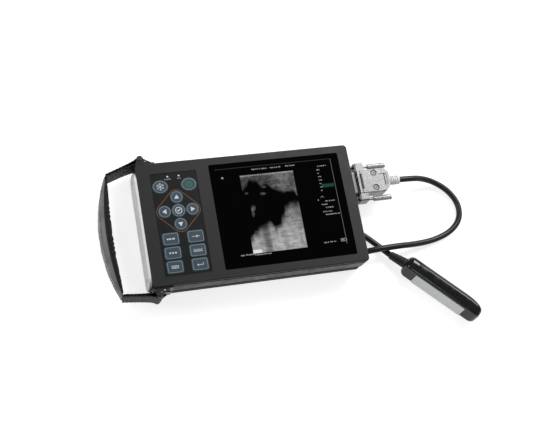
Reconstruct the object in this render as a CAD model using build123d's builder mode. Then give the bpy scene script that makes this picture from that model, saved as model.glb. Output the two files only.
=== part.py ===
from build123d import *
from math import cos, pi, radians, sin, tan
import os

# Hand-held veterinary ultrasound scanner with its linear probe plugged in.
# Millimetres, +Z up. The scanner lies on its back, screen up, on two rubber rails, with its
# hand strap on the left (-X), its probe socket on the right (+X), and its probe in front.
# The probe cable runs under the case, in the space between the rails.
# The origin is on the table, in the middle of the footprint of everything but the cable.

# ---- driving dimensions -------------------------------------------------------------------
CASE_X, CASE_Y = -38.4, 28.4          # middle of the case, from the origin
CASE_W, CASE_H, CASE_TOP = 208.0, 118.0, 36.0
CASE_R = 3.5                          # corner radius of the case in plan
RAIL_H, RAIL_W = 9.0, 6.0             # rubber rails under the long edges, as long as the case
WALL, FLOOR_T = 2.5, 2.5
FACE_T, GASKET_T = 2.8, 3.2
FACE_UNDER = CASE_TOP - FACE_T        # underside of the front face
SEAM_Z = FACE_UNDER - GASKET_T        # top of the rear shell
BACK_CHAMFER = 5.0                    # at the two ends of the back
LIP_T, LIP_DEPTH, LIP_GAP = 1.5, 4.0, 0.3         # lip of the front face, inside the wall
BOSS_R, CLEAR_R, PILOT_R, HEAD_R, HEAD_T = 3.5, 1.6, 1.25, 2.8, 1.8
SCREW_SPOTS = [(x * 95.0, y * 50.0) for x in (-1, 1) for y in (-1, 1)]
SCREW_SHANK_R, HEX_R, HEX_DEPTH = 1.2, 0.9, 0.8
PANEL_Y, PANEL_Z, PANEL_L, PANEL_H, PANEL_T, PANEL_R = -2.0, 20.0, 111.0, 30.4, 2.6, 9.0
PANEL_SCREWS, PANEL_SCREW_R = ((-47.0, 3.0), (47.0, 3.0)), 2.2
BOARD_X, BOARD_W, BOARD_H, BOARD_Z, BOARD_T = 23.0, 134.0, 96.0, 23.5, 1.6
STANDOFFS = [(BOARD_X + x * 61.0, y * 44.0) for x in (-1, 1) for y in (-1, 1)]
STANDOFF_R = 3.0
BATTERY_X, BATTERY_W, BATTERY_H, BATTERY_GAP = 15.0, 90.0, 50.0, 1.0
COVER_W, COVER_H, COVER_T, COVER_R, COVER_GAP = 112.0, 56.0, 1.4, 3.0, 0.2
COVER_SCREWS = [(BATTERY_X + x * 52.0, 0.0) for x in (-1, 1)]
GROOVES, GROOVE_L, GROOVE_W, GROOVE_STEP = 7, 14.0, 1.6, 4.0     # finger grip of the cover

WINDOW_X, WINDOW_Y, WINDOW_W, WINDOW_H, WINDOW_T = 28.8, 0.2, 128.6, 102.7, 1.2
LCD_X, LCD_Y, LCD_W, LCD_H, LCD_T = 27.3, 2.8, 124.0, 94.0, 6.6
VIEW_W, VIEW_H = 116.4, 87.6          # opening behind the window

PAD_X, PAD_Y, PAD_W, PAD_H = -69.7, -1.4, 43.8, 99.0
OVERLAY_T, OVERLAY_SINK = 0.8, 0.5
KEY_PROUD, KEY_GAP, KEY_FLANGE, KEY_FLANGE_T, KEY_TRAVEL = 0.9, 0.15, 0.4, 0.7, 0.8
OVAL_W, OVAL_H, ARROW_D, OK_D = 14.3, 12.5, 11.6, 12.4
FUNCTION_W, FUNCTION_H, FUNCTION_R = 15.0, 11.5, 2.0
KEYS = {                              # name: (x, y, shape), from the middle of the case
    "key_freeze": (-83.4, 34.9, "oval"),
    "key_power": (-56.4, 34.9, "oval"),
    "key_up": (-69.8, 23.6, "arrow"),
    "key_left": (-82.9, 10.5, "arrow"),
    "key_ok": (-69.8, 10.5, "centre"),
    "key_right": (-56.7, 10.5, "arrow"),
    "key_down": (-69.8, -2.6, "arrow"),
    "key_function_1": (-81.2, -15.9, "function"),
    "key_function_2": (-58.0, -15.9, "function"),
    "key_function_3": (-81.2, -29.2, "function"),
    "key_function_4": (-58.0, -29.2, "function"),
    "key_function_5": (-81.2, -42.5, "function"),
    "key_function_6": (-58.0, -42.5, "function"),
}
ARROW_STEP, OUTLINE_LINE, OUTLINE_R, OUTLINE_T = 13.1, 0.45, 7.5, 0.3
OUTLINE_SIDE = ARROW_STEP * 2 ** 0.5 + 2 * OUTLINE_R
LED_SPOTS = ((-75.2, 44.4), (-64.5, 44.4))
LED_R = 0.9
OVERLAY_TOP = CASE_TOP - OVERLAY_SINK
KEY_BASE = FACE_UNDER - 0.2           # top of the flange that holds a key in
MAT_TOP = KEY_BASE - KEY_FLANGE_T - KEY_TRAVEL - 0.2
MAT_T, KEY_BOARD_T = 1.0, 1.6

SOCKET_Y, SOCKET_Z = 23.05, 18.0      # standard 15-way D connector
FLANGE_W, FLANGE_H, SCREW_PITCH = 39.2, 12.5, 33.3
D_W, D_H, D_R = 24.7, 8.0, 2.4
D_GAP, D_SHEET, D_LENGTH = 0.3, 0.4, 5.8
PIN_PITCH_Y, PIN_PITCH_Z, PIN_R, PIN_HOLE_R = 2.77, 2.84, 0.45, 0.8
PIN_SPOTS = [(PIN_PITCH_Y * (i - 3.5), PIN_PITCH_Z / 2) for i in range(8)]
PIN_SPOTS += [(PIN_PITCH_Y * (i - 3.0), -PIN_PITCH_Z / 2) for i in range(7)]
FLANGE_SCREWS = [(-SCREW_PITCH / 2, 0), (SCREW_PITCH / 2, 0)]
SOCKET_FLANGE_T, POST_R, POST_L, POST_BORE_R, SCREW_TIP_R = 1.0, 2.7, 5.0, 1.65, 1.4
DC_Y, DC_Z, DC_R, DC_HOLE_R, DC_PIN_R = -20.0, 20.0, 5.0, 2.9, 1.0
PLUG_FLANGE_X = 8.0                   # from the case wall to the plug's flange
SHOULDER_X, HOOD_END_X = 17.0, 41.5   # from the case wall
HOOD_W, HOOD_H, HOOD_CORNER = 23.0, 16.0, 4.5
SHOULDER_H, HOOD_START = 14.0, PLUG_FLANGE_X + 1.0
HOOD_SCREWS = [(26.0, -7.5), (26.0, 7.5)]         # along the hood from the wall, across it
HOOD_SCREW_HEAD_R, HOOD_SCREW_R, HOOD_SCREW_SINK = 2.1, 1.2, 1.6
KNOB_START, KNOB_END, KNOB_R, KNOB_FLUTES = 23.5, 42.0, 2.6, 16
RELIEF_R, RELIEF_END_X = 4.6, 53.5
RELIEF_GROOVES, RELIEF_GROOVE_W, RELIEF_GROOVE_T = (44.0, 46.2, 48.4, 50.6), 0.9, 0.7

BAR_X, BAR_OUT, BAR_R = -98.0, 6.0, 1.6          # pin that the webbing goes round
BAR_HEAD_R, BAR_HEAD_T = 2.3, 0.8
WEB_W, WEB_T, STRAP_Z = 24.0, 2.2, 19.5
LUG_X, LUG_L, LUG_T, LUG_H, EAR_T, EAR_R = -94.0, 18.0, 1.6, 29.0, 2.0, 3.2
LUG_SCREW_X, LUG_HOLE_R, LUG_HEAD_R, LUG_HEAD_T = -88.5, 1.4, 2.5, 1.2
STRAP_TOP, STRAP_MID, STRAP_BOTTOM = (-130.0, 53.5), (-140.2, 9.0), (-129.5, -61.5)
GRIP_T, GRIP_W, GRIP_END_W, GRIP_EDGE = 6.0, 28.0, 16.0, 1.2

CABLE_D = 6.0
PROBE_BACK = (148.3, -61.7)           # cable end of the probe body, from the case's middle
PROBE_HEADING, PROBE_L = -43.3, 88.0
PROBE_AXIS_Z = 9.4
BOOT_TIP = (136.6, -49.4, 6.0)
LENS_L, LENS_W, LENS_T, LENS_START = 58.0, 13.4, 1.6, 14.5
LENS_TILT = 16.5                      # the lens face leans back from upright
BODY_H, FOOT_LEFT, FOOT_RIGHT, SIDE_RIGHT, TOP_RIGHT = 19.6, -9.8, 11.4, 12.4, 9.0
TOP_LEFT = FOOT_LEFT + BODY_H * tan(radians(LENS_TILT))
SIDE_Z = 8.0                          # height of the widest part of the back of the probe
PROBE_ROUND, PROBE_WALL = 5.5, 2.0
BOOT_TIP_R, BOOT_BASE_R, BOOT_SIDE = 3.9, 5.4, 1.3

CASE = Plane((CASE_X, CASE_Y, 0))
RIGHT = Plane(origin=(CASE_X + CASE_W / 2, CASE_Y + SOCKET_Y, SOCKET_Z), x_dir=(0, 1, 0), z_dir=(1, 0, 0))


def key_outline(shape, grow=0.0):
    """Outline of one key cap, grown all round."""
    if shape == "oval":
        Ellipse(OVAL_W / 2 + grow, OVAL_H / 2 + grow)
    elif shape == "arrow":
        Circle(ARROW_D / 2 + grow)
    elif shape == "centre":
        Circle(OK_D / 2 + grow)
    else:
        RectangleRounded(FUNCTION_W + 2 * grow, FUNCTION_H + 2 * grow, FUNCTION_R + grow)


def outline_ring():
    """Thin rounded square, stood on its corner, round the arrow keys."""
    inner = OUTLINE_SIDE - 2 * OUTLINE_LINE
    with Locations(KEYS["key_ok"][:2]):
        RectangleRounded(OUTLINE_SIDE, OUTLINE_SIDE, OUTLINE_R, rotation=45)
        RectangleRounded(inner, inner, OUTLINE_R - OUTLINE_LINE, rotation=45, mode=Mode.SUBTRACT)


def finish(builder, name):
    """Name one finished piece and write its file."""
    builder.part.label = name
    export_step(builder.part, f"parts/{name}.step")


os.makedirs("parts", exist_ok=True)

# ---- case -----------------------------------------------------------------------------------
with BuildPart() as front_shell:
    with BuildSketch(CASE.offset(FACE_UNDER)):
        RectangleRounded(CASE_W, CASE_H, CASE_R)
    extrude(amount=FACE_T)
    chamfer(front_shell.faces().sort_by(Axis.Z)[-1].edges(), length=0.8)
    with BuildSketch(CASE.offset(FACE_UNDER)):
        RectangleRounded(CASE_W - 2 * WALL - 2 * LIP_GAP, CASE_H - 2 * WALL - 2 * LIP_GAP, 2.0)
        lip_inset = 2 * (WALL + LIP_GAP + LIP_T)
        RectangleRounded(CASE_W - lip_inset, CASE_H - lip_inset, 1.0, mode=Mode.SUBTRACT)
    extrude(amount=-LIP_DEPTH)
    with BuildSketch(CASE.offset(SEAM_Z)):
        with Locations(*SCREW_SPOTS):
            Circle(BOSS_R)
    extrude(amount=GASKET_T)
    with BuildSketch(CASE.offset(SEAM_Z)):
        with Locations(*SCREW_SPOTS):
            Circle(PILOT_R)
    extrude(amount=GASKET_T + FACE_T - 1.0, mode=Mode.SUBTRACT)
    with BuildSketch(CASE.offset(CASE_TOP)):
        with Locations((WINDOW_X, WINDOW_Y)):
            RectangleRounded(WINDOW_W, WINDOW_H, 1.5)
    extrude(amount=-WINDOW_T, mode=Mode.SUBTRACT)
    with BuildSketch(CASE.offset(CASE_TOP)):
        with Locations((LCD_X, LCD_Y)):
            RectangleRounded(VIEW_W, VIEW_H, 1.0)
    extrude(amount=-FACE_T, mode=Mode.SUBTRACT)
    with BuildSketch(CASE.offset(CASE_TOP)):
        with Locations((PAD_X, PAD_Y)):
            RectangleRounded(PAD_W, PAD_H, 1.5)
    extrude(amount=-OVERLAY_SINK - OVERLAY_T, mode=Mode.SUBTRACT)
    with BuildSketch(CASE.offset(CASE_TOP)):
        for x, y, shape in KEYS.values():
            with Locations((x, y)):
                key_outline(shape, KEY_GAP)
        with Locations(*LED_SPOTS):
            Circle(LED_R)
    extrude(amount=-FACE_T, mode=Mode.SUBTRACT)
finish(front_shell, "front_shell")

with BuildPart() as rear_shell:
    with BuildSketch(CASE.offset(RAIL_H)):
        RectangleRounded(CASE_W - 2 * BACK_CHAMFER, CASE_H - 2.0, CASE_R)
    with BuildSketch(CASE.offset(RAIL_H + BACK_CHAMFER)):
        RectangleRounded(CASE_W, CASE_H, CASE_R)
    loft()
    with BuildSketch(CASE.offset(RAIL_H + BACK_CHAMFER)):
        RectangleRounded(CASE_W, CASE_H, CASE_R)
    extrude(amount=SEAM_Z - RAIL_H - BACK_CHAMFER)
    lower = WALL + BACK_CHAMFER
    with BuildSketch(CASE.offset(RAIL_H + FLOOR_T)):
        RectangleRounded(CASE_W - 2 * lower, CASE_H - 2 * lower, 2.0)
    extrude(amount=SEAM_Z - RAIL_H, mode=Mode.SUBTRACT)
    with BuildSketch(CASE.offset(RAIL_H + FLOOR_T + BACK_CHAMFER)):
        RectangleRounded(CASE_W - 2 * WALL, CASE_H - 2 * WALL, 2.0)
    extrude(amount=SEAM_Z - RAIL_H, mode=Mode.SUBTRACT)
    with BuildSketch(CASE.offset(RAIL_H + FLOOR_T)):
        with Locations(*SCREW_SPOTS):
            Circle(BOSS_R)
    extrude(amount=SEAM_Z - RAIL_H - FLOOR_T)
    with BuildSketch(CASE.offset(RAIL_H + FLOOR_T)):
        with Locations(*STANDOFFS):
            Circle(STANDOFF_R)
    extrude(amount=BOARD_Z - RAIL_H - FLOOR_T)
    with BuildSketch(CASE.offset(RAIL_H)):
        with Locations(*SCREW_SPOTS):
            Circle(CLEAR_R)
    extrude(amount=SEAM_Z - RAIL_H, mode=Mode.SUBTRACT)
    with BuildSketch(CASE.offset(RAIL_H)):
        with Locations(*SCREW_SPOTS):
            Circle(HEAD_R + 0.2)
        with Locations((BATTERY_X, 0)):
            RectangleRounded(COVER_W + 2 * COVER_GAP, COVER_H + 2 * COVER_GAP, COVER_R + COVER_GAP)
    extrude(amount=HEAD_T, mode=Mode.SUBTRACT)
    with BuildSketch(CASE.offset(RAIL_H)):
        with Locations((BATTERY_X, 0)):
            RectangleRounded(BATTERY_W + 2 * BATTERY_GAP, BATTERY_H + 2 * BATTERY_GAP, 2.0)
        with Locations(*COVER_SCREWS):
            Circle(PILOT_R)
    extrude(amount=FLOOR_T, mode=Mode.SUBTRACT)
    with BuildSketch(RIGHT):
        RectangleRounded(D_W + 1.2, D_H + 1.2, D_R)
        with Locations(*FLANGE_SCREWS):
            Circle(PILOT_R)
        with Locations((DC_Y - SOCKET_Y, DC_Z - SOCKET_Z)):
            Circle(DC_R + 0.1)
    extrude(amount=-WALL - BACK_CHAMFER - 0.5, mode=Mode.SUBTRACT)
finish(rear_shell, "rear_shell")

with BuildPart() as shell_gasket:
    with BuildSketch(CASE.offset(SEAM_Z)):
        RectangleRounded(CASE_W - 2.0, CASE_H - 2.0, CASE_R - 1.0)
        RectangleRounded(CASE_W - 2 * WALL, CASE_H - 2 * WALL, 2.0, mode=Mode.SUBTRACT)
    extrude(amount=GASKET_T)
finish(shell_gasket, "shell_gasket")

with BuildPart() as side_plate:
    left_wall = Plane(
        origin=(CASE_X - CASE_W / 2, CASE_Y + PANEL_Y, PANEL_Z), x_dir=(0, -1, 0), z_dir=(-1, 0, 0)
    )
    with BuildSketch(left_wall):
        RectangleRounded(PANEL_L, PANEL_H, PANEL_R)
    extrude(amount=PANEL_T)
    fillet(side_plate.faces().sort_by(Axis.X)[0].edges(), radius=1.2)
    with BuildSketch(left_wall.offset(PANEL_T)):
        with Locations(*PANEL_SCREWS):
            Circle(PANEL_SCREW_R + 0.1)
    extrude(amount=-PANEL_T, mode=Mode.SUBTRACT)
finish(side_plate, "side_plate")

with BuildPart() as side_plate_screws:
    with BuildSketch(left_wall.offset(PANEL_T - 0.2)):
        with Locations(*PANEL_SCREWS):
            Circle(PANEL_SCREW_R)
    extrude(amount=-PANEL_T + 0.2)
    with BuildSketch(left_wall.offset(PANEL_T - 0.2)):
        with Locations(*PANEL_SCREWS):
            RegularPolygon(HEX_R + 0.2, 6)
    extrude(amount=-1.2, mode=Mode.SUBTRACT)
finish(side_plate_screws, "side_plate_screws")

for side, name in ((-1, "skid_rail_front"), (1, "skid_rail_back")):
    with BuildPart() as skid_rail:
        with BuildSketch(CASE):
            RectangleRounded(CASE_W - 1.0, CASE_H - 1.0, CASE_R - 0.5)
            with Locations((0, -side * RAIL_W)):
                Rectangle(CASE_W + 1.0, CASE_H, mode=Mode.SUBTRACT)
        extrude(amount=RAIL_H)
        chamfer(skid_rail.faces().sort_by(Axis.Z)[0].edges(), length=0.8)
    finish(skid_rail, name)

with BuildPart() as battery_cover:
    with BuildSketch(CASE.offset(RAIL_H)):
        with Locations((BATTERY_X, 0)):
            RectangleRounded(COVER_W, COVER_H, COVER_R)
        with Locations(*COVER_SCREWS):
            Circle(CLEAR_R, mode=Mode.SUBTRACT)
    extrude(amount=COVER_T)
    with BuildSketch(CASE.offset(RAIL_H)):
        with Locations((BATTERY_X + 40.0, 0)):
            with GridLocations(0, GROOVE_STEP, 1, GROOVES):
                SlotOverall(GROOVE_L, GROOVE_W)
    extrude(amount=0.6, mode=Mode.SUBTRACT)
finish(battery_cover, "battery_cover")

SCREW_SETS = (                        # name, places, length, radius of the head
    ("battery_cover_screws", COVER_SCREWS, COVER_T + 1.0, SCREW_SHANK_R),
    ("shell_screws", SCREW_SPOTS, SEAM_Z - RAIL_H + GASKET_T + 0.4, HEAD_R),
)
for name, spots, length, head_r in SCREW_SETS:
    with BuildPart() as screws:
        with BuildSketch(CASE.offset(RAIL_H)):
            with Locations(*spots):
                Circle(SCREW_SHANK_R)
        extrude(amount=length)
        with BuildSketch(CASE.offset(RAIL_H)):
            with Locations(*spots):
                Circle(head_r)
        extrude(amount=HEAD_T - 0.1)
        with BuildSketch(CASE.offset(RAIL_H)):
            with Locations(*spots):
                RegularPolygon(HEX_R, 6)
        extrude(amount=HEX_DEPTH, mode=Mode.SUBTRACT)
    finish(screws, name)

# ---- display --------------------------------------------------------------------------------
with BuildPart() as lcd_window:
    with BuildSketch(CASE.offset(CASE_TOP)):
        with Locations((WINDOW_X, WINDOW_Y)):
            RectangleRounded(WINDOW_W - 0.3, WINDOW_H - 0.3, 1.4)
    extrude(amount=-WINDOW_T)
    chamfer(lcd_window.faces().sort_by(Axis.Z)[-1].edges(), length=0.25)
finish(lcd_window, "lcd_window")

with BuildPart() as lcd_module:
    with BuildSketch(CASE.offset(FACE_UNDER - 0.1)):
        with Locations((LCD_X, LCD_Y)):
            RectangleRounded(LCD_W, LCD_H, 1.0)
    extrude(amount=-LCD_T)
    chamfer(lcd_module.faces().sort_by(Axis.Z)[-1].edges(), length=0.4)
finish(lcd_module, "lcd_module")

with BuildPart() as lcd_bracket:
    with BuildSketch(CASE.offset(FACE_UNDER)):
        with Locations((LCD_X, LCD_Y)):
            RectangleRounded(LCD_W + 3.0, LCD_H + 3.0, 1.5)
            RectangleRounded(LCD_W + 0.4, LCD_H + 0.4, 1.0, mode=Mode.SUBTRACT)
    extrude(amount=-LCD_T)
finish(lcd_bracket, "lcd_bracket")

with BuildPart() as main_board:
    with BuildSketch(CASE.offset(BOARD_Z)):
        with Locations((BOARD_X, 0)):
            RectangleRounded(BOARD_W, BOARD_H, 2.0)
    extrude(amount=BOARD_T)
finish(main_board, "main_board")

with BuildPart() as battery_pack:
    with BuildSketch(CASE.offset(RAIL_H + HEAD_T + 0.2)):
        with Locations((BATTERY_X, 0)):
            RectangleRounded(BATTERY_W, BATTERY_H, 2.5)
    extrude(amount=BOARD_Z - RAIL_H - HEAD_T - 0.6)
    fillet(battery_pack.edges().filter_by(Plane.XY), radius=1.0)
finish(battery_pack, "battery_pack")

# ---- keypad ---------------------------------------------------------------------------------
with BuildPart() as keypad_overlay:
    with BuildSketch(CASE.offset(OVERLAY_TOP)):
        with Locations((PAD_X, PAD_Y)):
            RectangleRounded(PAD_W - 0.3, PAD_H - 0.3, 1.4)
        for x, y, shape in KEYS.values():
            with Locations((x, y)):
                with BuildSketch(mode=Mode.PRIVATE) as hole:
                    key_outline(shape, KEY_GAP)
                add(hole.sketch, mode=Mode.SUBTRACT)
        with Locations(*LED_SPOTS):
            Circle(LED_R, mode=Mode.SUBTRACT)
    extrude(amount=-OVERLAY_T)
    with BuildSketch(CASE.offset(OVERLAY_TOP)):
        outline_ring()
    extrude(amount=-OUTLINE_T, mode=Mode.SUBTRACT)
finish(keypad_overlay, "keypad_overlay")

with BuildPart() as keypad_outline:
    with BuildSketch(CASE.offset(OVERLAY_TOP)):
        outline_ring()
    extrude(amount=-OUTLINE_T)
finish(keypad_outline, "keypad_outline")

with BuildPart() as indicator_lenses:
    with BuildSketch(CASE.offset(FACE_UNDER)):
        with Locations(*LED_SPOTS):
            Circle(LED_R - 0.05)
    extrude(amount=OVERLAY_TOP - FACE_UNDER + 0.2)
    fillet(indicator_lenses.faces().filter_by(Axis.Z).group_by(Axis.Z)[-1].edges(), radius=0.3)
finish(indicator_lenses, "indicator_lenses")

for name, (x, y, shape) in KEYS.items():
    with BuildPart() as key:
        with BuildSketch(CASE.offset(KEY_BASE)):
            with Locations((x, y)):
                key_outline(shape)
        extrude(amount=OVERLAY_TOP + KEY_PROUD - KEY_BASE)
        fillet(key.faces().sort_by(Axis.Z)[-1].edges(), radius=0.6)
        with BuildSketch(CASE.offset(KEY_BASE)):
            with Locations((x, y)):
                key_outline(shape, KEY_FLANGE)
        extrude(amount=-KEY_FLANGE_T)
    finish(key, name)

with BuildPart() as keypad_mat:
    with BuildSketch(CASE.offset(MAT_TOP)):
        with Locations((PAD_X, PAD_Y)):
            RectangleRounded(PAD_W - 3.0, PAD_H - 8.0, 1.5)
    extrude(amount=-MAT_T)
finish(keypad_mat, "keypad_mat")

with BuildPart() as keypad_board:
    with BuildSketch(CASE.offset(MAT_TOP - MAT_T)):
        with Locations((PAD_X, PAD_Y)):
            RectangleRounded(PAD_W - 1.0, PAD_H - 6.0, 1.5)
    extrude(amount=-KEY_BOARD_T)
finish(keypad_board, "keypad_board")

# ---- probe socket and charging socket -------------------------------------------------------
with BuildPart() as probe_socket:
    with BuildSketch(RIGHT):
        RectangleRounded(FLANGE_W, FLANGE_H, 1.0)
        with Locations(*FLANGE_SCREWS):
            Circle(CLEAR_R, mode=Mode.SUBTRACT)
    extrude(amount=SOCKET_FLANGE_T)
    with BuildSketch(RIGHT):
        RectangleRounded(D_W, D_H, D_R)
    extrude(amount=SOCKET_FLANGE_T + D_LENGTH)
    with BuildSketch(RIGHT):
        RectangleRounded(D_W, D_H, D_R)
    extrude(amount=-8.0)
    with BuildSketch(RIGHT.offset(SOCKET_FLANGE_T + D_LENGTH)):
        with Locations(*PIN_SPOTS):
            Circle(PIN_HOLE_R)
    extrude(amount=-D_LENGTH, mode=Mode.SUBTRACT)
finish(probe_socket, "probe_socket")

with BuildPart() as socket_jackposts:
    with BuildSketch(RIGHT.offset(SOCKET_FLANGE_T)):
        with Locations(*FLANGE_SCREWS):
            RegularPolygon(POST_R, 6)
    extrude(amount=POST_L)
    with BuildSketch(RIGHT.offset(SOCKET_FLANGE_T)):
        with Locations(*FLANGE_SCREWS):
            Circle(PILOT_R - 0.05)
    extrude(amount=-SOCKET_FLANGE_T - WALL - 1.5)
    with BuildSketch(RIGHT.offset(SOCKET_FLANGE_T + POST_L)):
        with Locations(*FLANGE_SCREWS):
            Circle(POST_BORE_R)
    extrude(amount=-POST_L, mode=Mode.SUBTRACT)
finish(socket_jackposts, "socket_jackposts")

with BuildPart() as dc_jack:
    with BuildSketch(RIGHT):
        with Locations((DC_Y - SOCKET_Y, DC_Z - SOCKET_Z)):
            Circle(DC_R + 1.2)
    extrude(amount=1.0)
    with BuildSketch(RIGHT.offset(1.0)):
        with Locations((DC_Y - SOCKET_Y, DC_Z - SOCKET_Z)):
            Circle(DC_R)
    extrude(amount=-11.0)
    with BuildSketch(RIGHT.offset(1.0)):
        with Locations((DC_Y - SOCKET_Y, DC_Z - SOCKET_Z)):
            Circle(DC_HOLE_R)
    extrude(amount=-9.5, mode=Mode.SUBTRACT)
    with BuildSketch(RIGHT.offset(-0.5)):
        with Locations((DC_Y - SOCKET_Y, DC_Z - SOCKET_Z)):
            Circle(DC_PIN_R)
    extrude(amount=-9.0)
finish(dc_jack, "dc_jack")

# ---- probe plug -----------------------------------------------------------------------------
with BuildPart() as plug_shell:
    with BuildSketch(RIGHT.offset(PLUG_FLANGE_X)):
        RectangleRounded(FLANGE_W, FLANGE_H, 1.0)
        RectangleRounded(D_W - 3.0, D_H - 1.6, D_R - 1.0, mode=Mode.SUBTRACT)
        with Locations(*FLANGE_SCREWS):
            Circle(SCREW_TIP_R + 0.3, mode=Mode.SUBTRACT)
    extrude(amount=1.0)
    with BuildSketch(RIGHT.offset(PLUG_FLANGE_X)):
        RectangleRounded(D_W + 2 * (D_GAP + D_SHEET), D_H + 2 * (D_GAP + D_SHEET), D_R + D_GAP + D_SHEET)
        RectangleRounded(D_W + 2 * D_GAP, D_H + 2 * D_GAP, D_R + D_GAP, mode=Mode.SUBTRACT)
    extrude(amount=-(PLUG_FLANGE_X - SOCKET_FLANGE_T - 0.5))
finish(plug_shell, "plug_shell")

with BuildPart() as plug_insert:
    with BuildSketch(RIGHT.offset(PLUG_FLANGE_X)):
        RectangleRounded(D_W - 3.2, D_H - 1.8, D_R - 1.1)
        with Locations(*PIN_SPOTS):
            Circle(PIN_R, mode=Mode.SUBTRACT)
    extrude(amount=5.0)
finish(plug_insert, "plug_insert")

with BuildPart() as plug_pins:
    with BuildSketch(RIGHT.offset(SOCKET_FLANGE_T + 0.8)):
        with Locations(*PIN_SPOTS):
            Circle(PIN_R)
    extrude(amount=PLUG_FLANGE_X + 6.5 - SOCKET_FLANGE_T - 0.8)
finish(plug_pins, "plug_pins")

hood_top = Plane((CASE_X + CASE_W / 2, CASE_Y + SOCKET_Y, SOCKET_Z + HOOD_H / 2))
for name, keep in (("plug_hood_upper", Keep.TOP), ("plug_hood_lower", Keep.BOTTOM)):
    with BuildPart() as hood:
        with BuildSketch(RIGHT.offset(HOOD_START)):
            RectangleRounded(FLANGE_W, SHOULDER_H, 1.5)
        extrude(amount=SHOULDER_X - HOOD_START)
        with BuildSketch(hood_top.offset(-HOOD_H / 2)) as plan:
            with Locations(((HOOD_START + HOOD_END_X) / 2, 0)):
                Rectangle(HOOD_END_X - HOOD_START, HOOD_W)
            chamfer(plan.vertices().group_by(Axis.X)[-1], length=HOOD_CORNER)
        extrude(amount=HOOD_H / 2, both=True)
        with BuildSketch(RIGHT.offset(HOOD_START)):
            RectangleRounded(HOOD_W - 3.0, HOOD_H - 3.0, 1.0)
        extrude(amount=HOOD_END_X - HOOD_START - 6.0, mode=Mode.SUBTRACT)
        with BuildSketch(RIGHT.offset(HOOD_START)):
            RectangleRounded(D_W - 2.6, D_H - 1.2, D_R - 0.8)
        extrude(amount=6.0, mode=Mode.SUBTRACT)
        with BuildSketch(RIGHT.offset(HOOD_START)):
            Circle(RELIEF_R - 0.9)
        extrude(amount=HOOD_END_X - HOOD_START, mode=Mode.SUBTRACT)
        with BuildSketch(RIGHT.offset(HOOD_START)):
            with Locations(*FLANGE_SCREWS):
                Circle(SCREW_TIP_R + 0.3)
        extrude(amount=SHOULDER_X - HOOD_START, mode=Mode.SUBTRACT)
        with BuildSketch(hood_top):
            with Locations((HOOD_END_X - 6.5, 0)):
                RectangleRounded(8.0, 12.0, 0.8)
            with Locations((HOOD_START + 2.4, 0)):
                RectangleRounded(1.6, HOOD_W + 10.0, 0.7)
        extrude(amount=-0.6, mode=Mode.SUBTRACT)
        with BuildSketch(hood_top.offset(-HOOD_H / 2)):
            with Locations(*HOOD_SCREWS):
                Circle(HOOD_SCREW_HEAD_R + 0.6)
        extrude(amount=HOOD_H / 2 - 1.0, both=True)
        with BuildSketch(hood_top):
            with Locations(*HOOD_SCREWS):
                Circle(HOOD_SCREW_HEAD_R + 0.15)
        extrude(amount=-HOOD_SCREW_SINK, mode=Mode.SUBTRACT)
        with BuildSketch(hood_top):
            with Locations(*HOOD_SCREWS):
                Circle(HOOD_SCREW_R + 0.05)
        extrude(amount=-HOOD_H + 2.0, mode=Mode.SUBTRACT)
        split(bisect_by=hood_top.offset(-HOOD_H / 2), keep=keep)
    finish(hood, name)

with BuildPart() as hood_screws:
    with BuildSketch(hood_top.offset(-HOOD_SCREW_SINK)):
        with Locations(*HOOD_SCREWS):
            Circle(HOOD_SCREW_HEAD_R)
    extrude(amount=1.2)
    with BuildSketch(hood_top.offset(-HOOD_SCREW_SINK)):
        with Locations(*HOOD_SCREWS):
            Circle(HOOD_SCREW_R)
    extrude(amount=-HOOD_H + 4.5)
    with BuildSketch(hood_top.offset(-0.4)):
        with Locations(*HOOD_SCREWS):
            Rectangle(2.6, 0.5)
            Rectangle(0.5, 2.6)
    extrude(amount=-0.6, mode=Mode.SUBTRACT)
finish(hood_screws, "hood_screws")

for name, side in (("thumbscrew_upper", 1), ("thumbscrew_lower", -1)):
    with BuildPart() as thumbscrew:
        with BuildSketch(RIGHT.offset(SOCKET_FLANGE_T + 1.0)):
            with Locations((side * SCREW_PITCH / 2, 0)):
                Circle(SCREW_TIP_R)
        extrude(amount=KNOB_START - SOCKET_FLANGE_T - 1.0)
        with BuildSketch(RIGHT.offset(KNOB_START)):
            with Locations((side * SCREW_PITCH / 2, 0)):
                Circle(KNOB_R)
                with PolarLocations(KNOB_R, KNOB_FLUTES):
                    Circle(0.28, mode=Mode.SUBTRACT)
        extrude(amount=KNOB_END - KNOB_START)
        with BuildSketch(RIGHT.offset(KNOB_END)):
            with Locations((side * SCREW_PITCH / 2, 0)):
                Rectangle(1.0, 6.0)
        extrude(amount=-1.2, mode=Mode.SUBTRACT)
    finish(thumbscrew, name)

with BuildPart() as plug_strain_relief:
    with BuildSketch(RIGHT.offset(HOOD_END_X)):
        Circle(RELIEF_R)
    extrude(amount=RELIEF_END_X - HOOD_END_X)
    for x in RELIEF_GROOVES:
        with BuildSketch(RIGHT.offset(x)):
            Circle(RELIEF_R)
            Circle(RELIEF_R - RELIEF_GROOVE_T, mode=Mode.SUBTRACT)
        extrude(amount=RELIEF_GROOVE_W, mode=Mode.SUBTRACT)
    with BuildSketch(RIGHT.offset(HOOD_END_X)):
        Circle(RELIEF_R - 1.0)
    extrude(amount=-6.0)
    with BuildSketch(RIGHT.offset(HOOD_END_X - 6.1)):
        Circle(RELIEF_R)
    extrude(amount=-2.0)
    with BuildSketch(RIGHT.offset(HOOD_END_X - 5.9)):
        Circle(RELIEF_R - 1.0)
    extrude(amount=-0.4)
finish(plug_strain_relief, "plug_strain_relief")

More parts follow.
